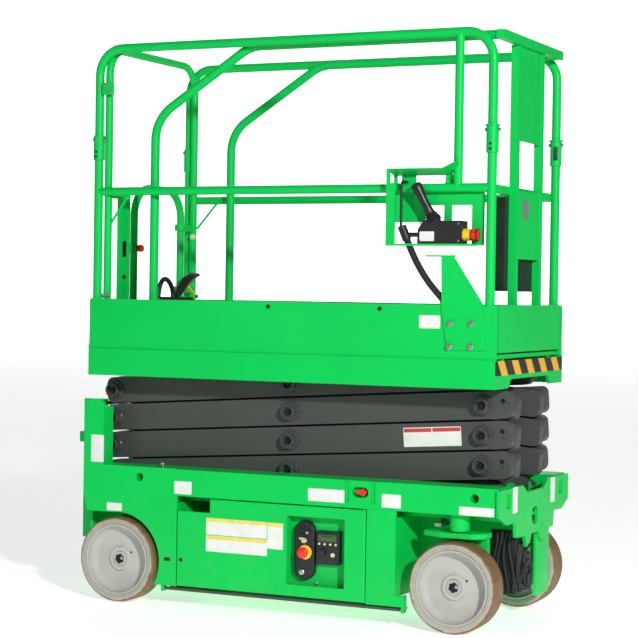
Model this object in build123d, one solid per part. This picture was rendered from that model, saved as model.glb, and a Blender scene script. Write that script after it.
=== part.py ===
from build123d import *
import os
from math import atan2, cos, degrees, hypot, pi, radians, sin, tan

# Electric scissor lift, stowed. Millimetres, +Z up, +X towards the steered end, +Y left.
# The origin is on the floor, in the middle of the machine.
os.makedirs("parts", exist_ok=True)

# ---------------------------------------------------------------- driving sizes
# wheels and steering
wheel_radius = 162.5
wheel_width = 100
rim_radius = 134
rim_wall = 7
dish_depth = 42
hub_radius = 34
wheel_bolts = 6
rear_axle_x = -632
wheelbase = 1370
spindle_radius = 20
kingpin_radius = 22
kingpin_inset = 80              # from a wheel's outer face to its kingpin
yoke_over_wheel = 10
yoke_thick = 18
leg_thick = 22
leg_half = 92
motor_radius = 52
steer_arm = 92                  # from a kingpin back to the link
link_bar = 12
pin_clearance = 0.3
running_gap = 5

# chassis
chassis_half = 370              # middle to the side skin's outer face
wheel_proud = 15                # a wheel's outer face beyond the side skin
front_overhang = 177            # front axle to the front plate's face
rear_overhang = 161             # rear axle to the chassis side's rear edge
chassis_bottom = 78
housing_height = 62             # kingpin housings, between the yokes and the side beams
beam_depth = 100
skin = 12
floor_plate = 12
floor_drop = 15                 # trough floor's top below the beams' underside
keel_half = 140
keel_bottom = 110
arch_gap = 18
upright_height = 252            # over the side beams
upright_width = 88
upright_depth = 70
tie_hole_radius = 16
front_plate_proud = 15
lashing_slot = 50
ladder_reach = 122              # the ladder beyond the chassis
ladder_half = 178
ladder_steps = 4

# swing-out trays
tray_behind = 259               # rear axle to the tray's rear end
tray_ahead = 338                # tray's front end to the front axle
tray_depth = 220
tray_wall = 10
hinge_inset = 8
hinge_pin = 4
guard_width = 58
guard_rod = 6

# scissor stack
stages = 4
arm_depth = 100
arm_gap = 8                     # between the pin levels of two arms, over their depth
arm_thick = 50
inner_arm_y = 105               # inner face of an inner arm
rear_pin_behind = 119           # rear axle to the rear pins
front_pin_ahead = 45            # front axle to the front pins
arm_under_gap = 6               # the first arms' lower edge over the beams' underside
rear_end = 38                   # arm beyond its rear pin
front_end = 108                 # arm beyond its front pin
pin_radius = 20
pin_head = 6
cross_radius = 22
roller_radius = 25
roller_width = 18
roller_clearance = 2
roller_travel = 870
roller_side_gap = 6              # a roller's end to the web beside it
lip = 12

# lift cylinder
barrel_pin_at = 1400            # along the first inner arm, from its front pin
eye_at = 300                    # along the third inner arm, from its front pin
barrel_radius = 45
barrel_length = 900
rod_radius = 27
rod_inside = 110
eye_radius = 34
eye_half = 28
lug_thick = 12

# platform
platform_proud = 5              # the platform's side beyond the chassis
platform_ahead = 102            # front pins to the platform's front face
platform_behind = 24            # rear pins to the platform's rear face
skirt_drop = 43                 # below the top pins
arm_over_gap = 12               # the last arms' upper edge to the deck plate
step_under_deck = 18            # the toe board's step below the deck
toe_height = 173
toe_inset = 5
deck_plate = 15
sheet = 12

# guard rails, heights over the main deck
rail_height = 1132
mid_height = 585
sleeve_height = (706, 800)
gate_height = 615
rail_radius = 17
sleeve_radius = 22
mid_radius = 16
upper_post_behind = 157         # platform's front face to the post over the right middle rail
rail_bend = 100
guard_radius = 15
guard_inset = 18                # rear guard's legs inside the side rails' posts
gate_width = 370
gate_inset = 106                # guard's left leg to the gate's hinge
gate_over_bar = 25              # the gate's top over the latch post's bar
gate_bend = 115
latch_post = (45, 24)
latch_room = 79                 # gate's far leg to the latch post's middle

# extension deck
ext_gap = 7                     # over the main deck
ext_plate = 12
ext_sheet = 5
ext_side_gap = 6                # to the main rails' posts
ext_rail_drop = 9               # its top rails under the main ones
ext_toe_height = 125
ext_post_behind = 1414          # platform's front face to the rear posts
ext_slope_run = 404
guard_bar = 32
guard_post = 28
guard_post_y = 133
guard_mid_height = 572          # under the guard's middle bar
ext_rail_bend = 150

# platform controls, hung over the right middle rail
carrier_reach = 53              # the carrier's outer face beyond the rails' middle
carrier_sheet = 4
carrier_length = 346
tray_height = 653
tray_slope = 14
box_reach = 47
stick_lean = (-66, -18, 130)

# ---------------------------------------------------------------- derived places
front_axle_x = rear_axle_x + wheelbase
wheel_y = chassis_half + wheel_proud - wheel_width / 2
wheel_in = wheel_y - wheel_width / 2
kingpin_y = chassis_half + wheel_proud - kingpin_inset
yoke_z = (2 * wheel_radius + yoke_over_wheel, 2 * wheel_radius + yoke_over_wheel + yoke_thick)
beam_bottom = yoke_z[1] + running_gap + housing_height
beam_top = beam_bottom + beam_depth
outer_arm_y = inner_arm_y + arm_thick + running_gap
arm_out = outer_arm_y + arm_thick
roller_in = arm_out + pin_head + 2 * running_gap
roller_y = (roller_in, roller_in + roller_width)
web_y = roller_y[1] + roller_side_gap
beam_in = web_y + skin
floor_top = beam_bottom - floor_drop
keel_top = floor_top - floor_plate
front_x = front_axle_x + front_overhang
rear_x = rear_axle_x - rear_overhang
plate_x = front_x - sheet
wall_x = rear_x - 11
upright_front = rear_x + upright_width
upright_top = beam_top + upright_height

tray_rear = rear_axle_x + tray_behind
tray_front = front_axle_x - tray_ahead
tray_z = (chassis_bottom + 4, beam_bottom - running_gap)
corner_in = chassis_half - tray_depth
panel_front = tray_front + 118
tray_hinge = (tray_front - hinge_inset, -chassis_half + hinge_inset)

stage_rise = arm_depth + arm_gap
base_pin_z = beam_bottom + arm_under_gap + arm_depth / 2
top_pin_z = base_pin_z + stages * stage_rise
rear_pin_x = rear_axle_x - rear_pin_behind
front_pin_x = front_axle_x + front_pin_ahead
centre_x = (rear_pin_x + front_pin_x) / 2
pin_run = front_pin_x - rear_pin_x
arm_span = hypot(pin_run, stage_rise)
stow_angle = degrees(atan2(stage_rise, pin_run))
bore = pin_radius + pin_clearance
pin_head_radius = pin_radius + 14
roller_room = roller_radius + roller_clearance

platform_half = chassis_half + platform_proud
platform_front = front_pin_x + platform_ahead
platform_rear = rear_pin_x - platform_behind
skirt_bottom = top_pin_z - skirt_drop
deck_under = top_pin_z + arm_depth / 2 + arm_over_gap
deck_top = deck_under + deck_plate
skirt_step = deck_top - step_under_deck
toe_top = deck_top + toe_height
toe_face = platform_half - toe_inset
rail_top = deck_top + rail_height
mid_rail_z = deck_top + mid_height
gate_top = deck_top + gate_height
rail_y = toe_face - rail_radius
ext_half = rail_y - rail_radius - ext_side_gap
ext_toe_y = ext_half - ext_sheet
ext_rail_y = ext_toe_y - rail_radius - 1
ext_floor = deck_top + ext_gap
ext_top = ext_floor + ext_plate
ext_rail_top = rail_top - ext_rail_drop
ext_toe_top = deck_top + ext_toe_height
ext_post_x = platform_front - ext_post_behind


# ---------------------------------------------------------------- helpers
from_base = (Align.CENTER, Align.CENTER, Align.MIN)


def block(x, y, z):
    """Box between the given low and high values."""
    middle = Pos((x[0] + x[1]) / 2, (y[0] + y[1]) / 2, (z[0] + z[1]) / 2)
    return middle * Box(x[1] - x[0], y[1] - y[0], z[1] - z[0])


def mirrored(shape):
    """The shape and its twin across the middle plane."""
    return shape + mirror(shape, about=Plane.XZ)


def on_left(shape):
    """The shape's twin across the middle plane."""
    return mirror(shape, about=Plane.XZ)


def pair(x, y, z):
    """The same box on both sides of the middle plane."""
    return block(x, y, z) + block(x, (-y[1], -y[0]), z)


def round_x(y, z, radius, x):
    """Cylinder along X between two stations."""
    return Pos((x[0] + x[1]) / 2, y, z) * Rot(0, 90, 0) * Cylinder(radius, x[1] - x[0])


def round_y(x, z, radius, y):
    """Cylinder along Y between two stations."""
    return Pos(x, (y[0] + y[1]) / 2, z) * Rot(90, 0, 0) * Cylinder(radius, y[1] - y[0])


def round_z(x, y, radius, z):
    """Cylinder along Z between two stations."""
    return Pos(x, y, (z[0] + z[1]) / 2) * Cylinder(radius, z[1] - z[0])


def side_plate(outline, y):
    """Plate with an outline of (x, z) points, between two y values."""
    face = Plane.XZ.offset(-y[1]) * Polygon(*outline, align=None)
    return extrude(face, amount=y[1] - y[0], dir=(0, -1, 0))


def front_sheet(outline, x):
    """Plate with an outline of (y, z) points, between two x values."""
    face = Plane.YZ.offset(x[0]) * Polygon(*outline, align=None)
    return extrude(face, amount=x[1] - x[0], dir=(1, 0, 0))


def level_plate(outline, z):
    """Plate with an outline of (x, y) points, between two z values."""
    face = Plane.XY.offset(z[0]) * Polygon(*outline, align=None)
    return extrude(face, amount=z[1] - z[0], dir=(0, 0, 1))


def tube(points, radius, bend):
    """Round bar along straight runs joined by arcs."""
    path = FilletPolyline(*points, radius=bend)
    return sweep(Plane(origin=path @ 0, z_dir=path % 0) * Circle(radius), path=path)


def span(first, second):
    """Two values in rising order."""
    return (min(first, second), max(first, second))


nodes = {}


# ---------------------------------------------------------------- wheels
def wheel(axle_x, sign):
    """Tyre and rim of one wheel, its outer face towards the given side."""
    out = sign * (wheel_y + wheel_width / 2)
    face = span(out, out - sign * wheel_width)
    tyre = round_y(axle_x, wheel_radius, wheel_radius, face)
    tyre = chamfer(tyre.edges().filter_by(GeomType.CIRCLE), 7)
    tyre -= round_y(axle_x, wheel_radius, rim_radius, face)
    rim = round_y(axle_x, wheel_radius, rim_radius, face)
    dish = span(out, out - sign * dish_depth)
    back = span(out - sign * wheel_width, out - sign * (dish_depth + rim_wall + 14))
    for hollow in (dish, back):
        rim -= round_y(axle_x, wheel_radius, rim_radius - rim_wall, hollow)
    rim += round_y(axle_x, wheel_radius, hub_radius, span(out - sign * dish_depth, out - sign * 14))
    rim -= round_y(axle_x, wheel_radius, spindle_radius + pin_clearance, face)
    for turn in range(wheel_bolts):
        angle = radians(360 * turn / wheel_bolts)
        bolt = (axle_x + 1.5 * hub_radius * cos(angle), wheel_radius + 1.5 * hub_radius * sin(angle))
        rim += round_y(*bolt, 9, span(out - sign * dish_depth, out - sign * (dish_depth - 9)))
    return tyre, rim


for end, axle_x in (("rear", rear_axle_x), ("front", front_axle_x)):
    for side, sign in (("right", -1), ("left", 1)):
        nodes[f"tyre_{end}_{side}"], nodes[f"rim_{end}_{side}"] = wheel(axle_x, sign)

# ---------------------------------------------------------------- chassis
# side beams, trough floor with its walls, and the rear wall
frame = pair((upright_front, plate_x), (beam_in, chassis_half), (beam_bottom, beam_top))
frame += block((wall_x, plate_x), (-beam_in, beam_in), (keel_top, floor_top))
frame += pair((rear_x, plate_x), (beam_in - skin, beam_in), (keel_top, beam_top))
frame += block((wall_x - 10, wall_x), (-beam_in - 20, beam_in + 20), (keel_bottom + 60, beam_bottom))

# side skins: the upright over the rear wheel, the arch, and the fixed panel by the front wheel
arch_top = wheel_radius + wheel_radius + arch_gap - 2
skin_y = (chassis_half - skin, chassis_half)
tray_edge = tray_rear - running_gap
upright = [
    (rear_x + 17, arch_top), (rear_x, beam_bottom), (rear_x, upright_top - 30), (rear_x + 30, upright_top),
    (upright_front - 14, upright_top), (upright_front, upright_top - 14), (upright_front, beam_top),
    (tray_edge, beam_top), (tray_edge, chassis_bottom), (rear_axle_x + wheel_radius, chassis_bottom),
    (rear_axle_x, arch_top),
]
skins = side_plate(upright, skin_y)
skins -= round_y(rear_axle_x, wheel_radius, wheel_radius + arch_gap, (0, chassis_half + 1))
skins += block((tray_front + running_gap, panel_front), skin_y, (chassis_bottom, beam_top))
upright_z = (beam_bottom, upright_top - 30)
skins += block((rear_x, upright_front), (chassis_half - upright_depth, chassis_half), upright_z)
frame += mirrored(skins)

# keel, cross walls at the trays' ends, rear axle and the front axle carrier with its link guides
keel_rear = rear_axle_x + 60
carrier_top = keel_top - 40
link_x = front_axle_x - steer_arm
link_z = (yoke_z[1] + 11, yoke_z[1] + 11 + link_bar)
frame += block((keel_rear, panel_front + 22), (-keel_half, keel_half), (keel_bottom, keel_top))
frame += block((rear_axle_x - 55, keel_rear), (-beam_in, beam_in), (keel_bottom + 10, keel_top))
for wall in ((panel_front - 18, panel_front), (tray_edge - 18, tray_edge)):
    frame += pair(wall, (keel_half, chassis_half - skin), (keel_bottom, keel_top))
frame += block((panel_front, plate_x - 30), (-keel_half, keel_half), (keel_bottom + 12, carrier_top))
for web in ((panel_front, link_x - 46), (front_axle_x - 28, plate_x - 30)):
    frame += block(web, (-keel_half, keel_half), (carrier_top, keel_top))
guides = pair((link_x - 24, link_x + 24), (keel_half - 30, keel_half), (carrier_top, keel_top))
frame += guides - block((link_x - link_bar - pin_clearance, link_x + link_bar + pin_clearance),
                        (-keel_half, keel_half), (link_z[0] - pin_clearance, link_z[1] + pin_clearance))
frame += mirrored(round_y(rear_axle_x, wheel_radius, spindle_radius, (beam_in - 10, wheel_y + 20)))
frame += mirrored(round_y(rear_axle_x, wheel_radius, 46, (beam_in - 10, wheel_in - running_gap)))

# kingpin housings under the side beams
housing_z = (yoke_z[1] + running_gap, beam_bottom)
housing = round_z(front_axle_x, kingpin_y, kingpin_radius + 14, housing_z)
housing -= round_z(front_axle_x, kingpin_y, kingpin_radius + pin_clearance, (housing_z[0], housing_z[1] - 6))
frame += mirrored(housing)

# rails for the first stage's rollers, and the brackets of the base pivot
for low in (base_pin_z - roller_room - lip, base_pin_z + roller_room):
    frame += pair((rear_pin_x - 40, rear_pin_x + roller_travel), (roller_y[0] - 4, beam_in), (low, low + lip))
bracket_y = (outer_arm_y, outer_arm_y + 20)
bracket_top = base_pin_z + pin_radius + 12
bracket = [(-60, floor_top), (60, floor_top), (30, bracket_top - 10), (18, bracket_top), (-18, bracket_top),
           (-30, bracket_top - 10)]
frame += mirrored(side_plate([(front_pin_x + x, z) for x, z in bracket], bracket_y))
frame += mirrored(round_y(front_pin_x, base_pin_z, pin_radius, (inner_arm_y - 5, bracket_y[1] + pin_head)))

# lashing holes right through the beams, and the slots and handle recess in their outer faces
for hole_x in (front_axle_x + 78, rear_axle_x + 90):
    hole = round_y(hole_x, beam_bottom + 62, tie_hole_radius, (beam_in - skin - 1, chassis_half + 1))
    frame -= mirrored(hole)
for slot_x in (tray_front - 75, tray_front + 28):
    slot_z = (beam_bottom + 21, beam_top - 2)
    slot = block((slot_x - 8, slot_x + 8), (chassis_half - 6, chassis_half + 1), slot_z)
    frame -= mirrored(slot)
handle_x = tray_front - 22
handle_z = beam_bottom + 58
recess = Plane.XZ.offset(chassis_half + 1) * Pos(handle_x, handle_z) * SlotCenterToCenter(26, 38)
frame -= extrude(recess, amount=-25)
hinge_hole = round_z(tray_hinge[0], -tray_hinge[1], hinge_pin + pin_clearance,
                     (beam_bottom - 1, beam_bottom + 12))
frame -= mirrored(hinge_hole)

# pothole guards and their hangers
guard_ends = (tray_rear - 55, panel_front + 20)
guard_y = chassis_half - 16
guard_z = chassis_bottom - 12
guard = block(guard_ends, (guard_y - guard_width, guard_y), (guard_z - 3, guard_z + 3))
guard += round_x(guard_y, guard_z, guard_rod, (guard_ends[0] - 14, guard_ends[1] + 14))
nodes["pothole_guard_left"] = guard
nodes["pothole_guard_right"] = on_left(guard)
hanger_y = (guard_y - 14, chassis_half)
hanger = block((guard_ends[0] - 14, guard_ends[0] - 5), hanger_y, (guard_z - 10, chassis_bottom + 6))
hanger += block((guard_ends[1] + 5, guard_ends[1] + 14), hanger_y, (guard_z - 10, chassis_bottom + 40))
hanger += block((panel_front, guard_ends[1] + 14), skin_y, (chassis_bottom, chassis_bottom + 40))
hanger -= round_x(guard_y, guard_z, guard_rod + pin_clearance, (guard_ends[0] - 15, guard_ends[1] + 15))
nodes["chassis_frame"] = frame + mirrored(hanger)

# red release handle in its recess
handle = round_y(handle_x + 10, handle_z, 12, (-chassis_half + 2, -chassis_half + 24))
handle += block((handle_x - 20, handle_x + 10), (-chassis_half + 2, -chassis_half + 12),
                (handle_z - 6, handle_z + 6))
nodes["release_handle"] = handle

# front plate: heights of its outline are over the side beams' underside
front_half = chassis_half + front_plate_proud
half_outline = [
    (90, 66), (142, 95), (front_half, 95), (front_half, 0), (307, -32), (216, -29), (208, -86),
    (110, -90), (93, -132), (60, -120), (40, -89),
]
outline = [(y, beam_bottom + z) for y, z in half_outline]
outline += [(-y, z) for y, z in reversed(outline)]
front = front_sheet(outline, (plate_x, front_x))
for hole_y in (-294, 294):
    seat = Plane.YZ.offset(plate_x - 1) * Pos(hole_y, beam_bottom + 50)
    front -= extrude(seat * RectangleRounded(lashing_slot, lashing_slot, 16), amount=sheet + 2)
front -= round_x(-5, beam_bottom - 25, 34, (plate_x - 1, front_x + 1))
nodes["front_plate"] = front

# ladder on the rear wall, with brackets to the uprights
ladder_x = (rear_x - ladder_reach, wall_x - 10)
ladder_z = (beam_bottom - 212, upright_top - 12)
ladder = pair(ladder_x, (ladder_half - 12, ladder_half), ladder_z)
for step in range(ladder_steps):
    step_z = ladder_z[0] + 15 + step * (ladder_z[1] - ladder_z[0] - 40) / (ladder_steps - 1)
    ladder += block((ladder_x[0] + 4, ladder_x[1] - 14), (12 - ladder_half, ladder_half - 12),
                    (step_z, step_z + 14))
ladder += pair((ladder_x[1] - 30, rear_x), (ladder_half, chassis_half - upright_depth + 20),
               (beam_top + 80, beam_top + 120))
nodes["ladder"] = ladder


# ---------------------------------------------------------------- steering
def knuckle(sign):
    """Yoke plate over the wheel, kingpin, leg, spindle and drive motor of one side."""
    leg_in = kingpin_y - 55
    plate = [
        (-steer_arm - 40, kingpin_y - 20), (-steer_arm - 40, kingpin_y + 10), (-60, kingpin_y + 45),
        (60, kingpin_y + 45), (100, kingpin_y + 10), (100, leg_in), (-leg_half, leg_in),
    ]
    body = level_plate([(front_axle_x + x, sign * y) for x, y in plate], yoke_z)
    body += round_z(front_axle_x, sign * kingpin_y, kingpin_radius, (yoke_z[0], beam_bottom - 12))
    foot = wheel_radius - 90
    leg = [
        (-leg_half, yoke_z[1]), (leg_half, yoke_z[1]), (leg_half, foot + 78), (60, foot), (-60, foot),
        (-leg_half, foot + 78),
    ]
    leg_y = span(sign * leg_in, sign * (leg_in + leg_thick))
    body += side_plate([(front_axle_x + x, z) for x, z in leg], leg_y)
    body += round_y(front_axle_x, wheel_radius, spindle_radius, span(sign * leg_in, sign * (wheel_y + 20)))
    for radius, out, inn in ((motor_radius, 0, 70), (motor_radius - 14, 70, 92)):
        motor_y = span(sign * (leg_in - inn), sign * (leg_in - out))
        body += round_y(front_axle_x, wheel_radius, radius, motor_y)
    return body


nodes["knuckle_right"] = knuckle(-1)
nodes["knuckle_left"] = knuckle(1)
link_half = kingpin_y - 20
nodes["steering_link"] = block((link_x - link_bar, link_x + link_bar), (-link_half, link_half), link_z)

# ---------------------------------------------------------------- swing-out trays
recess_x = (tray_front - 314, tray_front - 81)
recess_z = (tray_z[0] + 42, tray_z[1] - 39)
pan_y = -chassis_half + 46
tray_corner = 34


def tray_shell():
    """Tray on the right: floor, face plate with its top rear pocket, end walls and hinge pin."""
    floor = level_plate(
        [(tray_rear, -chassis_half), (tray_front - 6, -chassis_half), (tray_front, -chassis_half + 6),
         (tray_front, -corner_in), (tray_rear + tray_corner, -corner_in)], (tray_z[0], tray_z[0] + tray_wall))
    face = side_plate(
        [(tray_rear, tray_z[0]), (tray_front - 6, tray_z[0]), (tray_front - 6, tray_z[1] - 12),
         (tray_front - 15, tray_z[1]), (tray_rear + 138, tray_z[1]), (tray_rear + 138, tray_z[1] - 51),
         (tray_rear, tray_z[1] - 51)], (-chassis_half, -chassis_half + tray_wall))
    end_y = (-chassis_half + tray_wall, -corner_in)
    ends = block((tray_front - tray_wall, tray_front), end_y, (tray_z[0], keel_top - running_gap))
    end_x = tray_rear + tray_corner
    ends += block((end_x, end_x + tray_wall), end_y, (tray_z[0], tray_z[1] - 85))
    pin = round_z(*tray_hinge, hinge_pin, (tray_z[1] - 30, beam_bottom + 10))
    return floor + face + ends + pin + round_z(*tray_hinge, hinge_pin + 4, tray_z)


control_tray = tray_shell()
control_tray -= block(recess_x, (-chassis_half - 1, -chassis_half + tray_wall + 1), recess_z)
pan_z = (recess_z[0] - 10, recess_z[1] + 10)
control_tray += block((recess_x[0] - 10, recess_x[1] + 10), (pan_y, pan_y + 8), pan_z)
for wall in ((recess_x[0] - 10, recess_x[0]), (recess_x[1], recess_x[1] + 10)):
    control_tray += block(wall, (-chassis_half + tray_wall, pan_y), pan_z)
nodes["control_tray"] = control_tray
nodes["battery_tray"] = on_left(tray_shell())
pack_y = (corner_in + 8, chassis_half - tray_wall - 12)
pack_z = (tray_z[0] + tray_wall, tray_z[1] - 60)
nodes["battery_pack"] = block((tray_rear + 60, tray_front - 40), pack_y, pack_z)

# rounded key panel with its stop button, and the display beside it
panel_mid = (recess_z[0] + recess_z[1]) / 2
key_panel = Plane.XZ.offset(-pan_y) * Pos(recess_x[0] + 52, panel_mid) * RectangleRounded(84, 228, 26)
controls = extrude(key_panel, amount=22)
display_x = (recess_x[0] + 100, recess_x[1] - 12)
controls += block(display_x, (pan_y - 26, pan_y), (panel_mid - 60, panel_mid + 100))
controls += round_y(recess_x[0] + 58, panel_mid - 18, 19, (pan_y - 42, pan_y - 20))
bridge_x = (display_x[0] - 10, display_x[0] + 4)
controls += block(bridge_x, (pan_y - 10, pan_y), (panel_mid - 10, panel_mid + 10))
nodes["control_panel"] = controls


# ---------------------------------------------------------------- scissor stack
def stage_z(stage):
    """Height of the lower pins of a stage."""
    return base_pin_z + (stage - 1) * stage_rise


def arm_bars(to_front, stage, y_in, rear, front, corner):
    """Both bars of one arm on its stage, rising to the front or to the rear."""
    bar = Pos((arm_span + front - rear) / 2, 0) * Rectangle(arm_span + front + rear, arm_depth)
    bar = fillet(bar.vertices(), corner)
    foot_z = stage_z(stage) if to_front else stage_z(stage + 1)
    turn = stow_angle if to_front else -stow_angle
    profile = Plane.XZ.offset(-(y_in + arm_thick)) * Pos(rear_pin_x, foot_z) * Rot(0, 0, turn) * bar
    return mirrored(extrude(profile, amount=arm_thick, dir=(0, -1, 0)))


def headed_pin(x, z, y_in):
    """Pin of an outer arm pair on both sides, with its heads on the outer faces."""
    return mirrored(round_y(x, z, pin_radius, (y_in, arm_out)) +
                    round_y(x, z, pin_head_radius, (arm_out, arm_out + pin_head)))


def arm_point(along, across, stage):
    """Place on an inner arm, measured from its front pin and square to it."""
    angle = radians(stow_angle)
    return (front_pin_x - along * cos(angle) + across * sin(angle),
            stage_z(stage) + along * sin(angle) + across * cos(angle))


def roller_shaft(z):
    """Shaft with a roller at each end, at the sliding end of the stack."""
    return round_y(rear_pin_x, z, pin_radius, (-roller_y[0], roller_y[0])) + \
        mirrored(round_y(rear_pin_x, z, roller_radius, roller_y))


cross_tubes = {1: (300, 700, barrel_pin_at), 2: (160, 1400), 3: (1000, 1400), 4: (400, 1150)}
for stage in range(1, stages + 1):
    low_z = stage_z(stage)
    high_z = stage_z(stage + 1)
    middle_z = (low_z + high_z) / 2
    base = stage == 1
    top = stage == stages

    ends = (30 if top else rear_end, 50 if base else front_end)
    inner = arm_bars(False, stage, inner_arm_y, *ends, 29 if base or top else 24)
    for along in cross_tubes[stage]:
        inner += round_y(*arm_point(along, 0, stage), cross_radius, (-inner_arm_y, inner_arm_y))
    bores = [(front_pin_x, low_z), (centre_x, middle_z)] + ([] if top else [(rear_pin_x, high_z)])
    for place in bores:
        inner -= mirrored(round_y(*place, bore, (inner_arm_y - 1, inner_arm_y + arm_thick + 1)))
    if top:
        inner += roller_shaft(high_z)
    nodes[f"inner_arm_{stage}"] = inner

    ends = (30 if base else rear_end, 50 if top else front_end)
    outer = arm_bars(True, stage, outer_arm_y, *ends, 29 if base or top else 24)
    outer += headed_pin(centre_x, middle_z, inner_arm_y - 3)
    outer += roller_shaft(low_z) if base else headed_pin(rear_pin_x, low_z, 0)
    if top:
        outer -= mirrored(round_y(front_pin_x, high_z, bore, (outer_arm_y - 1, arm_out + 1)))
    else:
        outer += headed_pin(front_pin_x, high_z, 0)
        keeper_x = front_pin_x + front_end - 20
        outer += mirrored(round_y(keeper_x, high_z + 4, 10, (arm_out, arm_out + pin_head)))
    nodes[f"outer_arm_{stage}"] = outer

# ---------------------------------------------------------------- lift cylinder
# lugs for the rod's eye, hung from a bar across the third inner arms
lug_top = arm_depth / 2
lug_y = (eye_half + 8, eye_half + 8 + lug_thick)
lug_bar = [(90, lug_top - 22), (130, lug_top - 22), (130, lug_top), (90, lug_top)]
lug_plate = [(-30, -10), (-22, 24), (60, lug_top), (130, lug_top), (130, lug_top - 22), (30, -28), (-14, -30)]
lugs = side_plate([arm_point(eye_at + x, z, 3) for x, z in lug_bar], (-inner_arm_y, inner_arm_y))
lugs += mirrored(side_plate([arm_point(eye_at + x, z, 3) for x, z in lug_plate], lug_y))
nodes["inner_arm_3"] += lugs

barrel_pin = arm_point(barrel_pin_at, 0, 1)
rod_eye = arm_point(eye_at, 0, 3)
closed = hypot(rod_eye[0] - barrel_pin[0], rod_eye[1] - barrel_pin[1])
lean = degrees(atan2(rod_eye[1] - barrel_pin[1], rod_eye[0] - barrel_pin[0]))
at_barrel = Pos(barrel_pin[0], 0, barrel_pin[1]) * Rot(0, -lean, 0)
eye_y = (-eye_half, eye_half)
barrel = round_x(0, 0, barrel_radius, (52, barrel_length))
barrel += block((0, 60), eye_y, (-24, 24)) + round_y(0, 0, cross_radius + 14, eye_y)
barrel += round_x(0, 0, barrel_radius + 6, (barrel_length - 40, barrel_length - 10))
barrel -= round_y(0, 0, cross_radius + pin_clearance, eye_y)
barrel -= round_x(0, 0, rod_radius + pin_clearance, (rod_inside - 10, barrel_length + 1))
nodes["cylinder_barrel"] = at_barrel * barrel
rod = round_x(0, 0, rod_radius, (rod_inside, closed - eye_radius + 6))
rod += round_y(closed, 0, eye_radius, eye_y)
rod -= round_y(closed, 0, 18, eye_y)
nodes["cylinder_rod"] = at_barrel * rod

# ---------------------------------------------------------------- platform
deck_x = (platform_rear, platform_front)
inner_x = (platform_rear, platform_front - sheet)
deck = block(inner_x, (-toe_face, toe_face), (deck_under, deck_top))
deck += pair(deck_x, (platform_half - sheet, platform_half), (skirt_bottom, skirt_step))
deck += pair(deck_x, (toe_face - sheet, toe_face), (skirt_step, toe_top))
ledge_x = (platform_rear, platform_front - sheet - 6)
deck += pair(ledge_x, (rail_y - rail_radius, toe_face), (toe_top - 8, toe_top))
member = [
    (platform_half, skirt_bottom), (arm_out + 26, skirt_bottom), (arm_out - 6, skirt_bottom + 32),
]
member += [(-y, z) for y, z in reversed(member)]
member += [(-platform_half, skirt_step - 4), (platform_half, skirt_step - 4)]
deck += front_sheet(member, (platform_front - sheet, platform_front))
deck += pair((platform_rear, platform_rear + sheet), (arm_out + 59, platform_half), (skirt_bottom, deck_top))

# rails for the last stage's rollers, and the brackets of the top pivot
web_x = (rear_pin_x - 18, platform_front - sheet)
deck += pair(web_x, (web_y, web_y + sheet), (skirt_bottom + 3, deck_under))
for low in (top_pin_z - roller_room - lip, top_pin_z + roller_room):
    deck += pair((rear_pin_x - 18, rear_pin_x + roller_travel), (roller_y[0] - 4, web_y), (low, low + lip))
deck += pair((front_pin_x - 50, front_pin_x + 50), (arm_out + 6, arm_out + 26), (top_pin_z - 32, deck_under))
deck += mirrored(round_y(front_pin_x, top_pin_z, pin_radius, (outer_arm_y - 3, arm_out + 8)))

# rear toe boards beside the gate
leg_y = rail_y - guard_inset
hinge_y = leg_y - gate_inset
gate_far = hinge_y - gate_width
latch_y = gate_far - latch_room
toe_x = (platform_rear, platform_rear + sheet)
deck += block(toe_x, (-toe_face + sheet, gate_far - 30), (deck_top, toe_top))
deck += block(toe_x, (hinge_y + 30, toe_face - sheet), (deck_top, toe_top))

# side rails: post, top rail and post in one bent tube, with the folding sleeves, and a middle rail
# coped round the rear guard's leg, with one more post over the right middle rail
post_rear = platform_rear + rail_radius + 6
guard_x = post_rear + rail_radius + guard_radius + 1
post_front = platform_front - 31
for side, sign in (("right", -1), ("left", 1)):
    y = sign * rail_y
    corners = [(post_rear, toe_top), (post_rear, rail_top), (post_front, rail_top), (post_front, toe_top)]
    rail = tube([(x, y, z) for x, z in corners], rail_radius, rail_bend)
    rail += round_x(y, mid_rail_z, mid_radius, (post_rear, post_front))
    rail -= round_z(guard_x, sign * leg_y, guard_radius + pin_clearance, (mid_rail_z - 20, mid_rail_z + 20))
    for post in (post_rear, post_front):
        rail += round_z(post, y, sleeve_radius, (deck_top + sleeve_height[0], deck_top + sleeve_height[1]))
    nodes[f"side_rail_{side}"] = rail
upper_post_x = platform_front - upper_post_behind
nodes["side_rail_right"] += round_z(upper_post_x, -rail_y, mid_radius, (mid_rail_z, rail_top))

# rear guard inside the side rails' rear posts, with the latch post and the gate's hinge lugs
guard_top = rail_top + 4
bar_z = gate_top - gate_over_bar - guard_radius
corners = [(-leg_y, toe_top), (-leg_y, guard_top), (leg_y, guard_top), (leg_y, toe_top)]
rear_guard = tube([(guard_x, y, z) for y, z in corners], guard_radius, rail_bend)
latch_half = [size / 2 for size in latch_post]
latch_post_y = (latch_y - latch_half[1], latch_y + latch_half[1])
rear_guard += block((guard_x - latch_half[0], guard_x + latch_half[0]), latch_post_y,
                    (deck_top, bar_z + guard_radius))
rear_guard += round_y(guard_x, bar_z, guard_radius - 1, (-leg_y, latch_y))
for lug_z in (toe_top + 27, toe_top + 282):
    lug_span = (lug_z, lug_z + 26)
    rear_guard += block((guard_x - 9, guard_x + 9), (hinge_y, leg_y), lug_span)
    rear_guard += round_z(guard_x, hinge_y, guard_radius + 9, lug_span)
    rear_guard -= round_z(guard_x, hinge_y, guard_radius + pin_clearance, lug_span)
nodes["rear_guard"] = rear_guard

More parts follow.
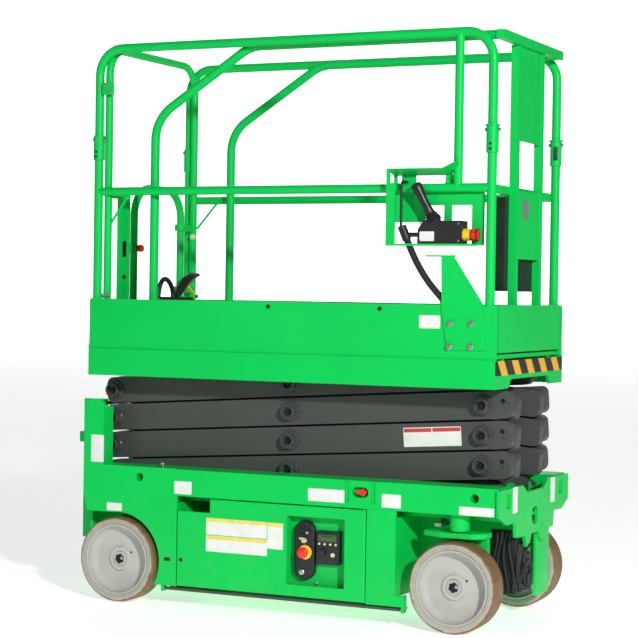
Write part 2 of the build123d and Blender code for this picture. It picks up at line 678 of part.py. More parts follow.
# gate: an arch with a kick plate, a latch bolt and its knob
gate_foot = ext_top + 36
corners = [(hinge_y, gate_foot), (hinge_y, gate_top), (gate_far, gate_top), (gate_far, gate_foot)]
gate = tube([(guard_x, y, z) for y, z in corners], guard_radius, gate_bend)
gate += block((guard_x - 5, guard_x + 5), (gate_far + 3, hinge_y - 3), (ext_top + 12, toe_top - 8))
latch_z = toe_top + 180
bolt_tip = latch_post_y[1] + 2
gate += block((guard_x - 10, guard_x + 10), (bolt_tip, gate_far), (latch_z, latch_z + 40))
gate += round_x(gate_far, latch_z + 20, 12, (guard_x, guard_x + 36))
nodes["gate"] = gate

# plate bracket bolted on the right toe board
bracket_x = platform_front - 207
plate = [(0, 171), (48, 169), (155, 9), (173, -158), (27, -159), (4, -16)]
side_bracket = side_plate([(bracket_x + x, toe_top + z) for x, z in plate], (-toe_face - 6, -toe_face))
flange_z = (toe_top + 169, toe_top + 175)
side_bracket += block((bracket_x - 60, bracket_x + 48), (-toe_face - 6, -toe_face + 14), flange_z)
for bolt_x, bolt_z in ((38, -66), (118, -64), (36, -147), (116, -145)):
    side_bracket += round_y(bracket_x + bolt_x, toe_top + bolt_z, 8, (-toe_face - 12, -toe_face - 6))
nodes["side_bracket"] = side_bracket

# ---------------------------------------------------------------- extension deck
ext_rear = ext_post_x - 35
ext = block((ext_rear, platform_front - sheet), (-ext_half, ext_half), (ext_floor, ext_top))
ext += pair((ext_rear, platform_front - sheet), (ext_toe_y, ext_half), (ext_top, ext_toe_top))
ext += pair((ext_rear, ext_rear + 700), (ext_half - 60, ext_half - 30), (deck_top + pin_clearance, ext_floor))
closing_y = (-ext_half - 10, ext_half + 10)
ext += block((platform_front - sheet, platform_front), closing_y, (ext_floor, toe_top + 2))

# front guard: square bar on two posts, with a plate between them above and below a window
post_x = platform_front - sheet - guard_post / 2
post_half = guard_post / 2
bar_under = rail_top - 25
bar_half = ext_rail_y + rail_radius + ext_side_gap
front_guard = block((platform_front - guard_bar, platform_front), (-bar_half, bar_half),
                    (bar_under, bar_under + guard_bar))
post_y = (guard_post_y - post_half, guard_post_y + post_half)
front_guard += pair((post_x - post_half, post_x + post_half), post_y, (ext_top, bar_under))
mid_bar_z = deck_top + guard_mid_height
front_guard += block((post_x - post_half - guard_post, post_x - post_half), (-bar_half, bar_half),
                     (mid_bar_z, mid_bar_z + guard_post))
between = (post_half - guard_post_y, guard_post_y - post_half)
for panel_z in ((deck_top + 767, bar_under), (deck_top + 341, deck_top + 587)):
    front_guard += block((post_x + 4, post_x + 10), between, panel_z)
nodes["front_guard"] = front_guard

# extension side rails: a post, a slope and a top rail in one bent tube
for side, sign in (("right", -1), ("left", 1)):
    y = sign * ext_rail_y
    slope_foot = ext_rail_top - 261
    corners = [(ext_post_x, ext_top), (ext_post_x, slope_foot), (ext_post_x + ext_slope_run, ext_rail_top),
               (platform_front - guard_bar, ext_rail_top)]
    rail = tube([(x, y, z) for x, z in corners], rail_radius, ext_rail_bend)
    nodes[f"extension_rail_{side}"] = rail

manual_x = (post_x - post_half - 45, post_x - post_half)
nodes["manual_box"] = block(manual_x, (-190, 190), (toe_top + 51, toe_top + 388))

# ---------------------------------------------------------------- platform controls
# carrier: an outer strip and bar, a back plate with windows, a shelf, and the sloping tool tray, which
# is notched round the rail's upper post
carrier_x = (platform_front - 63 - carrier_length, platform_front - 63)
outer_y = (-rail_y - carrier_reach, -rail_y - carrier_reach + carrier_sheet)
back_y = (-rail_y + mid_radius, -rail_y + mid_radius + carrier_sheet)
tray_top = deck_top + tray_height
shelf_z = (tray_top - 270, tray_top - 266)
rail_over = mid_rail_z + mid_radius
tray = side_plate([(carrier_x[0] + x, tray_top + z) for x, z in (
    (0, -carrier_sheet), (212, -carrier_sheet), (262, 20), (260, 24), (211, 0), (0, 0))],
    (outer_y[0], outer_y[0] + (back_y[1] - outer_y[0]) / cos(radians(tray_slope))))
carrier = Pos(0, outer_y[0], tray_top) * Rot(-tray_slope, 0, 0) * Pos(0, -outer_y[0], -tray_top) * tray
carrier += block((carrier_x[0], carrier_x[0] + 15), outer_y, (shelf_z[0], tray_top - 2))
carrier += block((carrier_x[0], carrier_x[0] + 35), outer_y, (shelf_z[0], rail_over))
carrier += block((carrier_x[0], carrier_x[1]), outer_y, (shelf_z[0] - 4, shelf_z[1]))
carrier += block((carrier_x[0] + 114, carrier_x[1]), (outer_y[0], back_y[1]), shelf_z)
back_top = tray_top + (outer_y[0] - back_y[0]) * tan(radians(tray_slope)) - 1
for x, z in (
    ((0, 346), (tray_top - 128, rail_over)), ((0, 124), (tray_top - 188, tray_top - 128)),
    ((195, 224), (shelf_z[0], tray_top - 128)), ((300, 346), (shelf_z[0], tray_top - 128)),
    ((0, 14), (rail_over, back_top)), ((31, 86), (rail_over, back_top)), ((199, 240), (rail_over, back_top)),
):
    carrier += block((carrier_x[0] + x[0], carrier_x[0] + x[1]), back_y, z)
for hook_x in (2, 205):
    carrier += block((carrier_x[0] + hook_x, carrier_x[0] + hook_x + 20), (-rail_y - 8, back_y[1]),
                     (rail_over, rail_over + carrier_sheet))
post_room = mid_radius + pin_clearance
carrier -= block((upper_post_x - post_room, upper_post_x + post_room), (-rail_y - post_room, back_y[0]),
                 (rail_over + 10, tray_top + 60))
nodes["control_carrier"] = carrier

# control box with its joystick and stop button
box_x = (carrier_x[0] + 119, carrier_x[0] + 285)
box_y = (-rail_y - box_reach, back_y[0] - 1)
box_z = (shelf_z[1], shelf_z[1] + 81)
stick_y = (box_y[0] + box_y[1]) / 2 - 5
stop_y = (box_y[0] + box_y[1]) / 2
stop_z = box_z[0] + 32
control = side_plate([
    (box_x[0], box_z[0]), (box_x[1], box_z[0]), (box_x[1], box_z[1]), (box_x[0] + 22, box_z[1]),
    (box_x[0] + 2, box_z[0] + 50),
], box_y)
stick = Plane(origin=(box_x[0] + 56, stick_y, box_z[1] - 4), z_dir=stick_lean)
control += stick * Cylinder(14, 148, align=from_base)
control += Pos(box_x[0] + 54, stick_y, box_z[1]) * Cone(25, 16, 26, align=from_base)
for stop_radius, low, high in ((20, 0, 24), (12, 24, 30), (22, 30, 52)):
    control += round_x(stop_y, stop_z, stop_radius, (box_x[1] + low, box_x[1] + high))

# corrugated cable from the box's inlet down to a gland on the right toe board
cable_radius = 12.5
cable_bends = [(0, 0, 0), (21, 2, -50), (46, 8, -99), (74, 17, -145), (101, 27, -180), (124, 36, -208)]
cable_from = (box_x[0] - 43, box_y[0] + 12, box_z[0] + 14)
cable_route = [tuple(start + step for start, step in zip(cable_from, bend)) for bend in cable_bends]
runs = [Vector(*b) - Vector(*a) for a, b in zip(cable_route, cable_route[1:])]
turns = [first.get_angle(second) for first, second in zip(runs, runs[1:])]
bends = [0.45 * min(first.length, second.length) / tan(radians(turn) / 2)
         for first, second, turn in zip(runs, runs[1:], turns)]
cable_path = FilletPolyline(*cable_route, radius=bends)
cable_end = Plane(origin=cable_path @ 0, z_dir=cable_path % 0)
nodes["control_cable"] = sweep(cable_end * Circle(cable_radius), path=cable_path)
print("cable radii", [round(bend) for bend in bends], "length", round(cable_path.length))
print("cable volume over section times length",
      round(nodes["control_cable"].volume / (pi * cable_radius**2 * cable_path.length), 5))


def gland(place, direction, length):
    """Gland that the cable's end meets, along a direction."""
    seat = Plane(origin=place, z_dir=direction)
    return seat * Cylinder(cable_radius + 3, length, align=from_base)


# inlet: a gland over the cable's end, a stub into the box, and a lead up and over the rail
lead_radius = 5
inlet_x, inlet_y, inlet_z = cable_route[0]
inlet_top = Vector(*cable_route[0]) - runs[0].normalized() * 52
stub_z = inlet_z + 18
control += gland(cable_path @ 0, -runs[0], 52)
control += round_x(inlet_y, stub_z, 8, (inlet_x - 6, box_x[0] + 8))
lead = [
    (inlet_top.X - 4, back_y[0], rail_over + lead_radius + 2),
    (inlet_top.X - 4, inlet_y, rail_over + lead_radius + 2), (inlet_top.X - 4, inlet_y, inlet_top.Z - 6),
]
control += tube(lead, lead_radius, 18)
nodes["control_box"] = control

foot_x, foot_y, foot_z = cable_route[-1]
deck += block((foot_x - 4, foot_x + 24), (foot_y - 12, foot_y + 14), (toe_top - 2, foot_z - 12))
deck += gland(cable_path @ 1, runs[-1], 22)
nodes["platform_deck"] = deck
nodes["extension_deck"] = ext

for name, shape in nodes.items():
    export_step(shape, f"parts/{name}.step")
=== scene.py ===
"""Electric scissor lift: finishes, fittings, floor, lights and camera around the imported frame.

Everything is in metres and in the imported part's own frame: +X towards the steered wheels,
+Y to the machine's left, +Z up, and the floor at zero.
"""

from __future__ import annotations

import logging
from dataclasses import dataclass, field
from enum import Enum
from math import comb, cos, pi, radians, sin
from typing import Sequence

import bpy
import numpy as np
from mathutils import Matrix, Vector


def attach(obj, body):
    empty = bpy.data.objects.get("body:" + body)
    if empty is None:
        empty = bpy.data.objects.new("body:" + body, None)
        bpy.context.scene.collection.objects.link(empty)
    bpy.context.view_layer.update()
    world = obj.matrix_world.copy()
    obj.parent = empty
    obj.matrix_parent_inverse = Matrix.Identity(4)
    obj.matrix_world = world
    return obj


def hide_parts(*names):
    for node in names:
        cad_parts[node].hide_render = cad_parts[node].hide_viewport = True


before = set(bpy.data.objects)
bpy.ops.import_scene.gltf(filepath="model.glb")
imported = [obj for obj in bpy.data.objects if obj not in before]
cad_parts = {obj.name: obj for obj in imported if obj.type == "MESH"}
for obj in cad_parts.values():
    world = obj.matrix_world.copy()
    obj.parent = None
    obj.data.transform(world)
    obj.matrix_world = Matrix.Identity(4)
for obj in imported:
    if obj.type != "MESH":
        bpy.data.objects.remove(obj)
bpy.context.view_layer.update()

LOG = logging.getLogger("scissor_lift")
Array = np.ndarray
Colour = tuple[float, float, float]
Point = tuple[float, float, float]
SIDES = {"right": -1, "left": 1}
SMALL = 1e-6
SHARP_ANGLE = radians(38)
LAMP_TARGET: Point = (0.05, 0.0, 0.95)


def srgb(red: int, green: int, blue: int) -> Colour:
    """Return a screen colour of three bytes as linear light.

    Args:
        red, green, blue: the colour's bytes, from 0 to 255.

    Returns:
        The three linear values, each ((c + 0.055) / 1.055) to the power 2.4.
    """
    return tuple(((c / 255 + 0.055) / 1.055) ** 2.4 for c in (red, green, blue))


# ------------------------------------------------------------------ finishes
class Pattern:
    """The nodes of one material, added and wired from the shader backwards."""

    def __init__(self, name: str, colour: Colour, roughness: float, **sockets: float) -> None:
        """Start a material with its shader.

        Args:
            name: the material's name.
            colour: the base colour, linear.
            roughness: the shader's roughness where nothing is wired to it.
            sockets: other shader sockets by name, with underscores for spaces.
        """
        self.material = bpy.data.materials.new(name)
        self.material.use_nodes = True
        self.tree = self.material.node_tree
        self.tree.nodes.clear()
        output = self.tree.nodes.new("ShaderNodeOutputMaterial")
        self.shader = self.tree.nodes.new("ShaderNodeBsdfPrincipled")
        self.tree.links.new(self.shader.outputs[0], output.inputs["Surface"])
        self.shader.inputs["Base Color"].default_value = (*colour, 1)
        self.shader.inputs["Roughness"].default_value = roughness
        for socket, value in sockets.items():
            self.shader.inputs[socket.replace("_", " ")].default_value = value
        self.place = self.add("ShaderNodeTexCoord").outputs["Object"]

    def add(self, kind: str, inputs: dict | None = None, **settings: object) -> bpy.types.Node:
        """Add a node, its settings, and its inputs by name or number, each a value or an output."""
        node = self.tree.nodes.new(kind)
        for key, value in settings.items():
            setattr(node, key, value)
        for key, value in (inputs or {}).items():
            if isinstance(value, bpy.types.NodeSocket):
                self.tree.links.new(value, node.inputs[key])
            else:
                node.inputs[key].default_value = value
        return node

    def stretched(self, x: float, y: float, z: float) -> bpy.types.NodeSocket:
        """Return the place with each axis multiplied by its own number."""
        return self.add("ShaderNodeMapping", {"Vector": self.place, "Scale": (x, y, z)}).outputs[0]

    def noise(self, scale: float, detail: float = 3, place: object = None) -> bpy.types.NodeSocket:
        """Return cloudy noise from 0 to 1, with that many lumps to a metre."""
        inputs = {"Vector": place or self.place, "Scale": scale, "Detail": detail, "Roughness": 0.55}
        return self.add("ShaderNodeTexNoise", inputs).outputs["Fac"]

    def cells(self, scale: float, feature: str = "F1") -> bpy.types.NodeSocket:
        """Return the distance to the nearest of scattered points, that many to a metre."""
        inputs = {"Vector": self.place, "Scale": scale}
        return self.add("ShaderNodeTexVoronoi", inputs, feature=feature).outputs["Distance"]

    def spread(self, value: object, low: float, high: float, start: float = 0,
               end: float = 1) -> bpy.types.NodeSocket:
        """Return a value carried from one range to another, and held at its ends."""
        inputs = {"Value": value, "From Min": low, "From Max": high, "To Min": start, "To Max": end}
        return self.add("ShaderNodeMapRange", inputs).outputs[0]

    def maths(self, operation: str, first: object, second: object = 0.0) -> bpy.types.NodeSocket:
        """Return an arithmetic operation on two values."""
        return self.add("ShaderNodeMath", {0: first, 1: second}, operation=operation).outputs[0]

    def axis(self, letter: str) -> bpy.types.NodeSocket:
        """Return one coordinate of the place."""
        return self.add("ShaderNodeSeparateXYZ", {0: self.place}).outputs[letter]

    def blend(self, share: object, first: object, second: object) -> bpy.types.NodeSocket:
        """Return the mix of two colours, each a colour or an output."""
        node = self.add("ShaderNodeMix", {"Factor": share}, data_type="RGBA")
        for socket, value in (("A", first), ("B", second)):
            target = [s for s in node.inputs if s.name == socket and s.type == "RGBA"][0]
            if isinstance(value, bpy.types.NodeSocket):
                self.tree.links.new(value, target)
            else:
                target.default_value = (*value, 1)
        return [s for s in node.outputs if s.type == "RGBA"][0]

    def bump(self, height: object, distance: float, under: object = None) -> bpy.types.NodeSocket:
        """Return a surface raised by a height, in metres where the height is 1, over another bump."""
        inputs = {"Height": height, "Distance": distance, "Strength": 1.0}
        if under is not None:
            inputs["Normal"] = under
        return self.add("ShaderNodeBump", inputs).outputs[0]

    def wire(self, socket: str, value: bpy.types.NodeSocket) -> None:
        """Feed one of the shader's sockets."""
        self.tree.links.new(value, self.shader.inputs[socket])


def darker(colour: Colour, share: float) -> Colour:
    """Return a colour with that share of its light."""
    return tuple(c * share for c in colour)


@dataclass(frozen=True)
class Paint:
    """Enamel on steel: fine orange peel, slight drift, dust towards the floor and rubbed spots."""

    name: str
    colour: Colour
    roughness: float = 0.42
    peel: float = 0.00012
    dust: float = 0.07
    gloss: float = 0.05

    def material(self) -> bpy.types.Material:
        """Return the enamel's material."""
        p = Pattern(self.name, self.colour, self.roughness, Coat_Weight=self.gloss, Coat_Roughness=0.2,
                    Specular_IOR_Level=0.15)
        drift = p.spread(p.noise(2.3, 4), 0.35, 0.7)
        body = p.blend(drift, self.colour, darker(self.colour, 0.92))
        low = p.spread(p.axis("Z"), 0.0, 0.42, self.dust, 0.0)
        film = p.maths("MULTIPLY", low, p.spread(p.noise(17, 6), 0.38, 0.66))
        dusty = p.blend(film, body, srgb(150, 142, 124))
        rub = p.spread(p.noise(9, 8, p.stretched(1, 1, 3)), 0.66, 0.74, 0.0, 0.22)
        p.wire("Base Color", p.blend(rub, dusty, darker(self.colour, 0.62)))
        smear = p.spread(p.noise(6, 5), 0.3, 0.75, self.roughness - 0.07, self.roughness + 0.1)
        p.wire("Roughness", p.maths("ADD", smear, p.maths("MULTIPLY", film, 0.5)))
        wave = p.bump(p.noise(7, 1), 0.0016)
        p.wire("Normal", p.bump(p.noise(430, 2), self.peel, wave))
        return p.material


@dataclass(frozen=True)
class Moulded:
    """Moulded plastic or rubber: a pebbled grain, duller in the hollows, with a little scuffing."""

    name: str
    colour: Colour
    roughness: float = 0.45
    grain: float = 0.00018
    lumps: float = 620.0

    def material(self) -> bpy.types.Material:
        """Return the plastic's material."""
        p = Pattern(self.name, self.colour, self.roughness)
        pebble = p.cells(self.lumps)
        scuff = p.spread(p.noise(26, 7), 0.55, 0.75)
        lighter = tuple(c * 1.5 + 0.01 for c in self.colour)
        shade = p.blend(p.spread(pebble, 0.0, 0.8), lighter, darker(self.colour, 0.8))
        p.wire("Base Color", p.blend(p.maths("MULTIPLY", scuff, 0.35), shade, lighter))
        p.wire("Roughness", p.spread(scuff, 0, 1, self.roughness, self.roughness + 0.16))
        p.wire("Normal", p.bump(p.noise(1500, 1), 0.00003, p.bump(pebble, self.grain)))
        return p.material


@dataclass(frozen=True)
class Tyre:
    """Solid non-marking rubber: pale moulded sides and a browner, scuffed tread."""

    name: str
    side: Colour
    tread: Colour

    def material(self) -> bpy.types.Material:
        """Return the rubber's material; the mesh's own tread attribute says where it wears."""
        p = Pattern(self.name, self.side, 0.62)
        worn = p.add("ShaderNodeAttribute", attribute_name="tread").outputs["Fac"]
        patches = p.spread(p.noise(34, 7), 0.35, 0.68)
        edge = p.spread(p.maths("ADD", worn, p.spread(patches, 0, 1, -0.22, 0.22)), 0.35, 0.65)
        pale = p.blend(patches, self.side, darker(self.side, 0.84))
        brown = p.blend(patches, self.tread, darker(self.tread, 0.66))
        p.wire("Base Color", p.blend(edge, pale, brown))
        p.wire("Roughness", p.spread(p.noise(60, 5), 0.3, 0.7, 0.5, 0.74))
        rough = p.bump(p.noise(240, 6), 0.0004)
        p.wire("Normal", p.bump(p.cells(330), 0.00012, rough))
        return p.material


@dataclass(frozen=True)
class Metal:
    """Bare or plated metal: fine drawn lines along one axis and faint stains."""

    name: str
    colour: Colour
    roughness: float = 0.28
    lines: Point = (60, 900, 900)
    depth: float = 0.00003

    def material(self) -> bpy.types.Material:
        """Return the metal's material."""
        p = Pattern(self.name, self.colour, self.roughness, Metallic=1.0)
        drawn = p.noise(1.0, 3, p.stretched(*self.lines))
        stain = p.spread(p.noise(30, 6), 0.45, 0.72)
        p.wire("Base Color", p.blend(stain, self.colour, darker(self.colour, 0.72)))
        p.wire("Roughness", p.spread(drawn, 0.3, 0.7, self.roughness - 0.08, self.roughness + 0.14))
        p.wire("Normal", p.bump(drawn, self.depth))
        return p.material


@dataclass(frozen=True)
class Vinyl:
    """Plain printed film: a slight crinkle and a satin face."""

    name: str
    colour: Colour
    roughness: float = 0.38

    def material(self) -> bpy.types.Material:
        """Return the film's material."""
        p = Pattern(self.name, self.colour, self.roughness, Coat_Weight=0.2, Coat_Roughness=0.2)
        fade = p.spread(p.noise(22, 5), 0.35, 0.7)
        p.wire("Base Color", p.blend(fade, self.colour, darker(self.colour, 0.9)))
        p.wire("Roughness", p.spread(p.noise(80, 4), 0.3, 0.7, self.roughness - 0.06, self.roughness + 0.1))
        p.wire("Normal", p.bump(p.noise(90, 3), 0.0002))
        return p.material


@dataclass(frozen=True)
class Stripes:
    """Slanted yellow and black film across a plate: the stripe is where y + lean * z falls."""

    name: str
    bright: Colour
    dark: Colour
    pitch: float = 0.146
    share: float = 0.47
    lean: float = 0.85
    shift: float = 0.0

    def material(self) -> bpy.types.Material:
        """Return the striped film's material."""
        p = Pattern(self.name, self.bright, 0.36, Coat_Weight=0.25, Coat_Roughness=0.15)
        slant = p.maths("ADD", p.axis("Y"), p.maths("MULTIPLY", p.axis("Z"), self.lean))
        along = p.maths("FRACT", p.maths("DIVIDE", p.maths("ADD", slant, 10 + self.shift), self.pitch))
        band = p.maths("LESS_THAN", along, self.share)
        worn = p.spread(p.noise(45, 7), 0.62, 0.72, 0.0, 0.5)
        film = p.blend(band, self.dark, self.bright)
        rubbed = p.blend(band, darker(self.dark, 3.0), darker(self.bright, 0.7))
        p.wire("Base Color", p.blend(worn, film, rubbed))
        p.wire("Roughness", p.spread(p.noise(60, 4), 0.3, 0.7, 0.28, 0.46))
        p.wire("Normal", p.bump(p.noise(110, 3), 0.00015))
        return p.material


GREEN = Paint("green_enamel", srgb(2, 207, 87))
GREY = Paint("grey_enamel", srgb(80, 82, 79), roughness=0.5, dust=0.06)
BOSS = Paint("boss_enamel", srgb(72, 73, 72), roughness=0.26, gloss=0.9)
RIM = Paint("rim_enamel", srgb(190, 189, 184), roughness=0.46, dust=0.3)
BLACK = Moulded("black_plastic", srgb(20, 21, 23))
GLOSS_BLACK = Moulded("gloss_black_plastic", srgb(24, 22, 22), roughness=0.36, grain=0.00003)
BOOT = Moulded("black_rubber", srgb(17, 17, 18), roughness=0.62, grain=0.0001)
RED = Moulded("red_plastic", srgb(226, 38, 26), roughness=0.26, grain=0.00003)
YELLOW = Moulded("yellow_plastic", srgb(240, 196, 30), roughness=0.32, grain=0.00004)
PALE_PLASTIC = Moulded("pale_plastic", srgb(214, 205, 176), roughness=0.36, grain=0.00004)
BATTERY = Moulded("battery_plastic", srgb(44, 46, 50), roughness=0.5)
TYRE = Tyre("tyre_rubber", srgb(176, 173, 160), srgb(134, 104, 66))
STEEL = Metal("steel", srgb(186, 188, 190))
ZINC = Metal("zinc_plate", srgb(176, 182, 170), roughness=0.34, lines=(300, 300, 300))
CHROME = Metal("chrome", srgb(226, 227, 228), roughness=0.1, lines=(40, 600, 600), depth=0.00001)
DARK_STEEL = Metal("dark_steel", srgb(58, 57, 56), roughness=0.42, lines=(300, 300, 300))
WHITE_FILM = Vinyl("white_film", srgb(240, 240, 236))
YELLOW_FILM = Vinyl("yellow_film", srgb(246, 222, 96))
RED_FILM = Vinyl("red_film", srgb(214, 66, 58))
GREY_FILM = Vinyl("grey_film", srgb(128, 140, 132))
SCREEN = Moulded("screen_glass", srgb(52, 84, 50), roughness=0.12, grain=0.0)
TAPE = Stripes("stripe_film", srgb(248, 188, 44), srgb(24, 19, 16), shift=0.043)
FLOOR = Moulded("floor_screed", srgb(247, 247, 246), roughness=0.7, grain=0.00002, lumps=300)


class Workshop:
    """Makes each finish once and hands it out by name."""

    def __init__(self) -> None:
        """Start with no finish made."""
        self.made: dict[str, bpy.types.Material] = {}

    def finish(self, kind: object) -> bpy.types.Material:
        """Return the material of a finish, made at its first use."""
        if kind.name not in self.made:
            self.made[kind.name] = kind.material()
        return self.made[kind.name]


WORKSHOP = Workshop()


# ------------------------------------------------------------------ surfaces
@dataclass
class Shell:
    """A closed surface: its points, its four-sided faces and its three-sided ones."""

    points: Array
    quads: Array
    triangles: Array

    def outward(self) -> Shell:
        """Return the surface with its faces turned outwards.

        The volume is a sixth of the sum, over the triangles, of each first corner dotted with the
        cross product of the other two. Where it is negative, each face's corners are read backwards.
        """
        halves = [self.quads[:, [0, 1, 2]], self.quads[:, [0, 2, 3]], self.triangles]
        corner = self.points[np.concatenate(halves)] - self.points.mean(0)
        volume = np.einsum("ij,ij->i", corner[:, 0], np.cross(corner[:, 1], corner[:, 2])).sum()
        if volume < 0:
            return Shell(self.points, self.quads[:, ::-1], self.triangles[:, ::-1])
        return self


def joined(shells: Sequence[Shell]) -> Shell:
    """Return several surfaces as one, with each one's numbers shifted past those before it."""
    starts = np.cumsum([0] + [len(s.points) for s in shells[:-1]])
    return Shell(
        np.concatenate([s.points for s in shells]),
        np.concatenate([s.quads + start for s, start in zip(shells, starts)]),
        np.concatenate([s.triangles + start for s, start in zip(shells, starts)]),
    )


def skin(grid: Array, ring: bool = False) -> Shell:
    """Close a grid of points into a surface.

    Each point joins the next in its row and in its column, and every row wraps round to its own
    start. The columns wrap too on a ring. Elsewhere triangles close the first and the last row
    to their mean points.

    Args:
        grid: rows by columns by three coordinates.
        ring: whether the last row joins the first.

    Returns:
        The closed surface, facing outwards.
    """
    rows, columns = grid.shape[:2]
    number = np.arange(rows * columns).reshape(rows, columns)
    here = number if ring else number[:-1]
    there = np.roll(number, -1, 0) if ring else number[1:]
    quads = np.stack([here, np.roll(here, -1, 1), np.roll(there, -1, 1), there], -1).reshape(-1, 4)
    points, triangles = grid.reshape(-1, 3), np.zeros((0, 3), int)
    if not ring:
        tips = np.arange(2) + rows * columns
        low = np.stack([np.roll(number[0], -1), number[0], np.full(columns, tips[0])], -1)
        high = np.stack([number[-1], np.roll(number[-1], -1), np.full(columns, tips[1])], -1)
        points = np.concatenate([points, [grid[0].mean(0), grid[-1].mean(0)]])
        triangles = np.concatenate([low, high])
    return Shell(points, quads, triangles).outward()


@dataclass(frozen=True)
class Seat:
    """A place on the machine: its origin, the way out of it and the way across it."""

    origin: Point
    out: Point = (0, -1, 0)
    across: Point = (1, 0, 0)

    def at(self, across: Array, along: Array, out: Array) -> Array:
        """Return points by their distances across, along and out, where along is out turned by across."""
        way_out = np.array(self.out, float) / np.linalg.norm(self.out)
        way_across = np.array(self.across, float)
        way_across = way_across - way_across.dot(way_out) * way_out
        way_across /= np.linalg.norm(way_across)
        way_along = np.cross(way_out, way_across)
        parts = np.broadcast_arrays(across, along, out)
        terms = [part[..., None] * way for part, way in zip(parts, (way_across, way_along, way_out))]
        return np.array(self.origin, float) + terms[0] + terms[1] + terms[2]

    def shifted(self, across: float, along: float, out: float = 0.0) -> Seat:
        """Return the seat moved by three distances along its own ways."""
        place = self.at(np.array(across), np.array(along), np.array(out))
        return Seat(tuple(place), self.out, self.across)


def ahead(x: float, y: float, z: float) -> Seat:
    """Return a seat that faces the machine's front, with its across to the left."""
    return Seat((x, y, z), (1, 0, 0), (0, 1, 0))


def upward(x: float, y: float, z: float) -> Seat:
    """Return a seat that faces up."""
    return Seat((x, y, z), (0, 0, 1))


def sideways(x: float, y: float, z: float, sign: int) -> Seat:
    """Return a seat that faces out of one side, that far from the machine's middle plane."""
    return Seat((x, sign * y, z), (0, sign, 0))


def lathe(seat: Seat, profile: Sequence[tuple[float, float]], segments: int = 32,
          ring: bool = False, sides: int = 0) -> Shell:
    """Turn a profile about a seat's way out.

    The point at angle t is radius * f * (cos t, sin t) at the profile's height. f is 1 on a round
    part. On one with flats it is cos(pi / n) / cos((t mod 2 pi / n) - pi / n), which is a polygon.

    Args:
        seat: where the axis starts and which way it points.
        profile: pairs of radius and height, in order.
        segments: points round the axis.
        ring: whether the profile closes on itself, clear of the axis.
        sides: the number of flats, or 0 for round.

    Returns:
        The closed surface.
    """
    radius, height = np.array(profile, float).T
    turn = np.linspace(0, 2 * pi, segments, endpoint=False)
    flat = np.ones(segments)
    if sides:
        flat = cos(pi / sides) / np.cos(turn % (2 * pi / sides) - pi / sides)
    reach = radius[:, None] * flat
    return skin(seat.at(reach * np.cos(turn), reach * np.sin(turn), height[:, None]), ring)


def peg(seat: Seat, radius: float, height: float, segments: int = 14) -> Shell:
    """Turn a plain cylinder."""
    return lathe(seat, [(radius, 0), (radius, height)], segments)


def stud(seat: Seat, radius: float, height: float, tip: float, top: float, segments: int = 14,
         foot: float = 0.0) -> Shell:
    """Turn a stud: straight from its foot to a height, then narrowing to its tip at the top."""
    return lathe(seat, [(radius, foot), (radius, height), (tip, top)], segments)


def arc(centre: tuple[float, float], radius: float, start: float, end: float, steps: int = 6) -> list:
    """Return points on a circle's arc between two angles in degrees: centre + radius (cos, sin)."""
    turn = np.radians(np.linspace(start, end, steps))
    return list(zip(centre[0] + radius * np.cos(turn), centre[1] + radius * np.sin(turn)))


def bezier(*points: Point, steps: int = 48) -> Array:
    """Return places along a Bezier curve.

    The place at t is the sum over k of comb(n, k) (1 - t)^(n - k) t^k times point k, for t from 0 to 1.
    """
    share, last = np.linspace(0, 1, steps)[:, None], len(points) - 1
    return sum(comb(last, k) * (1 - share) ** (last - k) * share ** k * np.array(point)
               for k, point in enumerate(points))


def tube(path: Array, radius: Array | float, segments: int = 14) -> Shell:
    """Carry a circle along a path.

    The tangent is the path's gradient, the side is the tangent crossed with the axis that it leans
    on least, and the third way is side cross tangent. Each row is centre + radius (cos, sin).
    """
    path = np.asarray(path, float)
    tangent = np.gradient(path, axis=0)
    tangent /= np.linalg.norm(tangent, axis=1, keepdims=True)
    axis = np.eye(3)[np.argmin(np.abs(tangent).max(0))]
    side = np.cross(tangent, axis)
    side /= np.linalg.norm(side, axis=1, keepdims=True)
    third = np.cross(side, tangent)
    turn = np.linspace(0, 2 * pi, segments, endpoint=False)
    reach = np.broadcast_to(radius, len(path))[:, None, None]
    ring = side[:, None] * np.cos(turn)[:, None] + third[:, None] * np.sin(turn)[:, None]
    return skin(path[:, None] + reach * ring)


def outline(width: Array, height: Array, corner: Array, steps: int) -> tuple[Array, Array]:
    """Return a rounded rectangle: each quarter is a corner's centre plus corner * (cos t, sin t)."""
    turn = np.linspace(0, pi / 2, steps)
    turns = np.concatenate([turn + quarter * pi / 2 for quarter in range(4)])
    sign_x, sign_y = np.repeat([1, -1, -1, 1], steps), np.repeat([1, 1, -1, -1], steps)
    across = sign_x * (width / 2 - corner) + corner * np.cos(turns)
    along = sign_y * (height / 2 - corner) + corner * np.sin(turns)
    return across, along


def slab(seat: Seat, width: float, height: float, depth: float, corner: float = 0.0,
         edge: float = 0.0, steps: int = 5) -> Shell:
    """Raise a rounded rectangle from a seat, with a rounded front edge.

    The row at angle a of the edge is the outline inset by edge * (1 - cos a), raised to
    depth - edge + edge * sin a.
    """
    corner = max(corner, edge + SMALL, 0.0002)
    turn = np.linspace(0, pi / 2, 4) if edge else np.zeros(1)
    inset = np.concatenate([[0], edge * (1 - np.cos(turn))])[:, None]
    rise = np.concatenate([[0], depth - edge + edge * np.sin(turn)])[:, None]
    across, along = outline(width - 2 * inset, height - 2 * inset, corner - inset, steps)
    return skin(seat.at(across, along, rise))


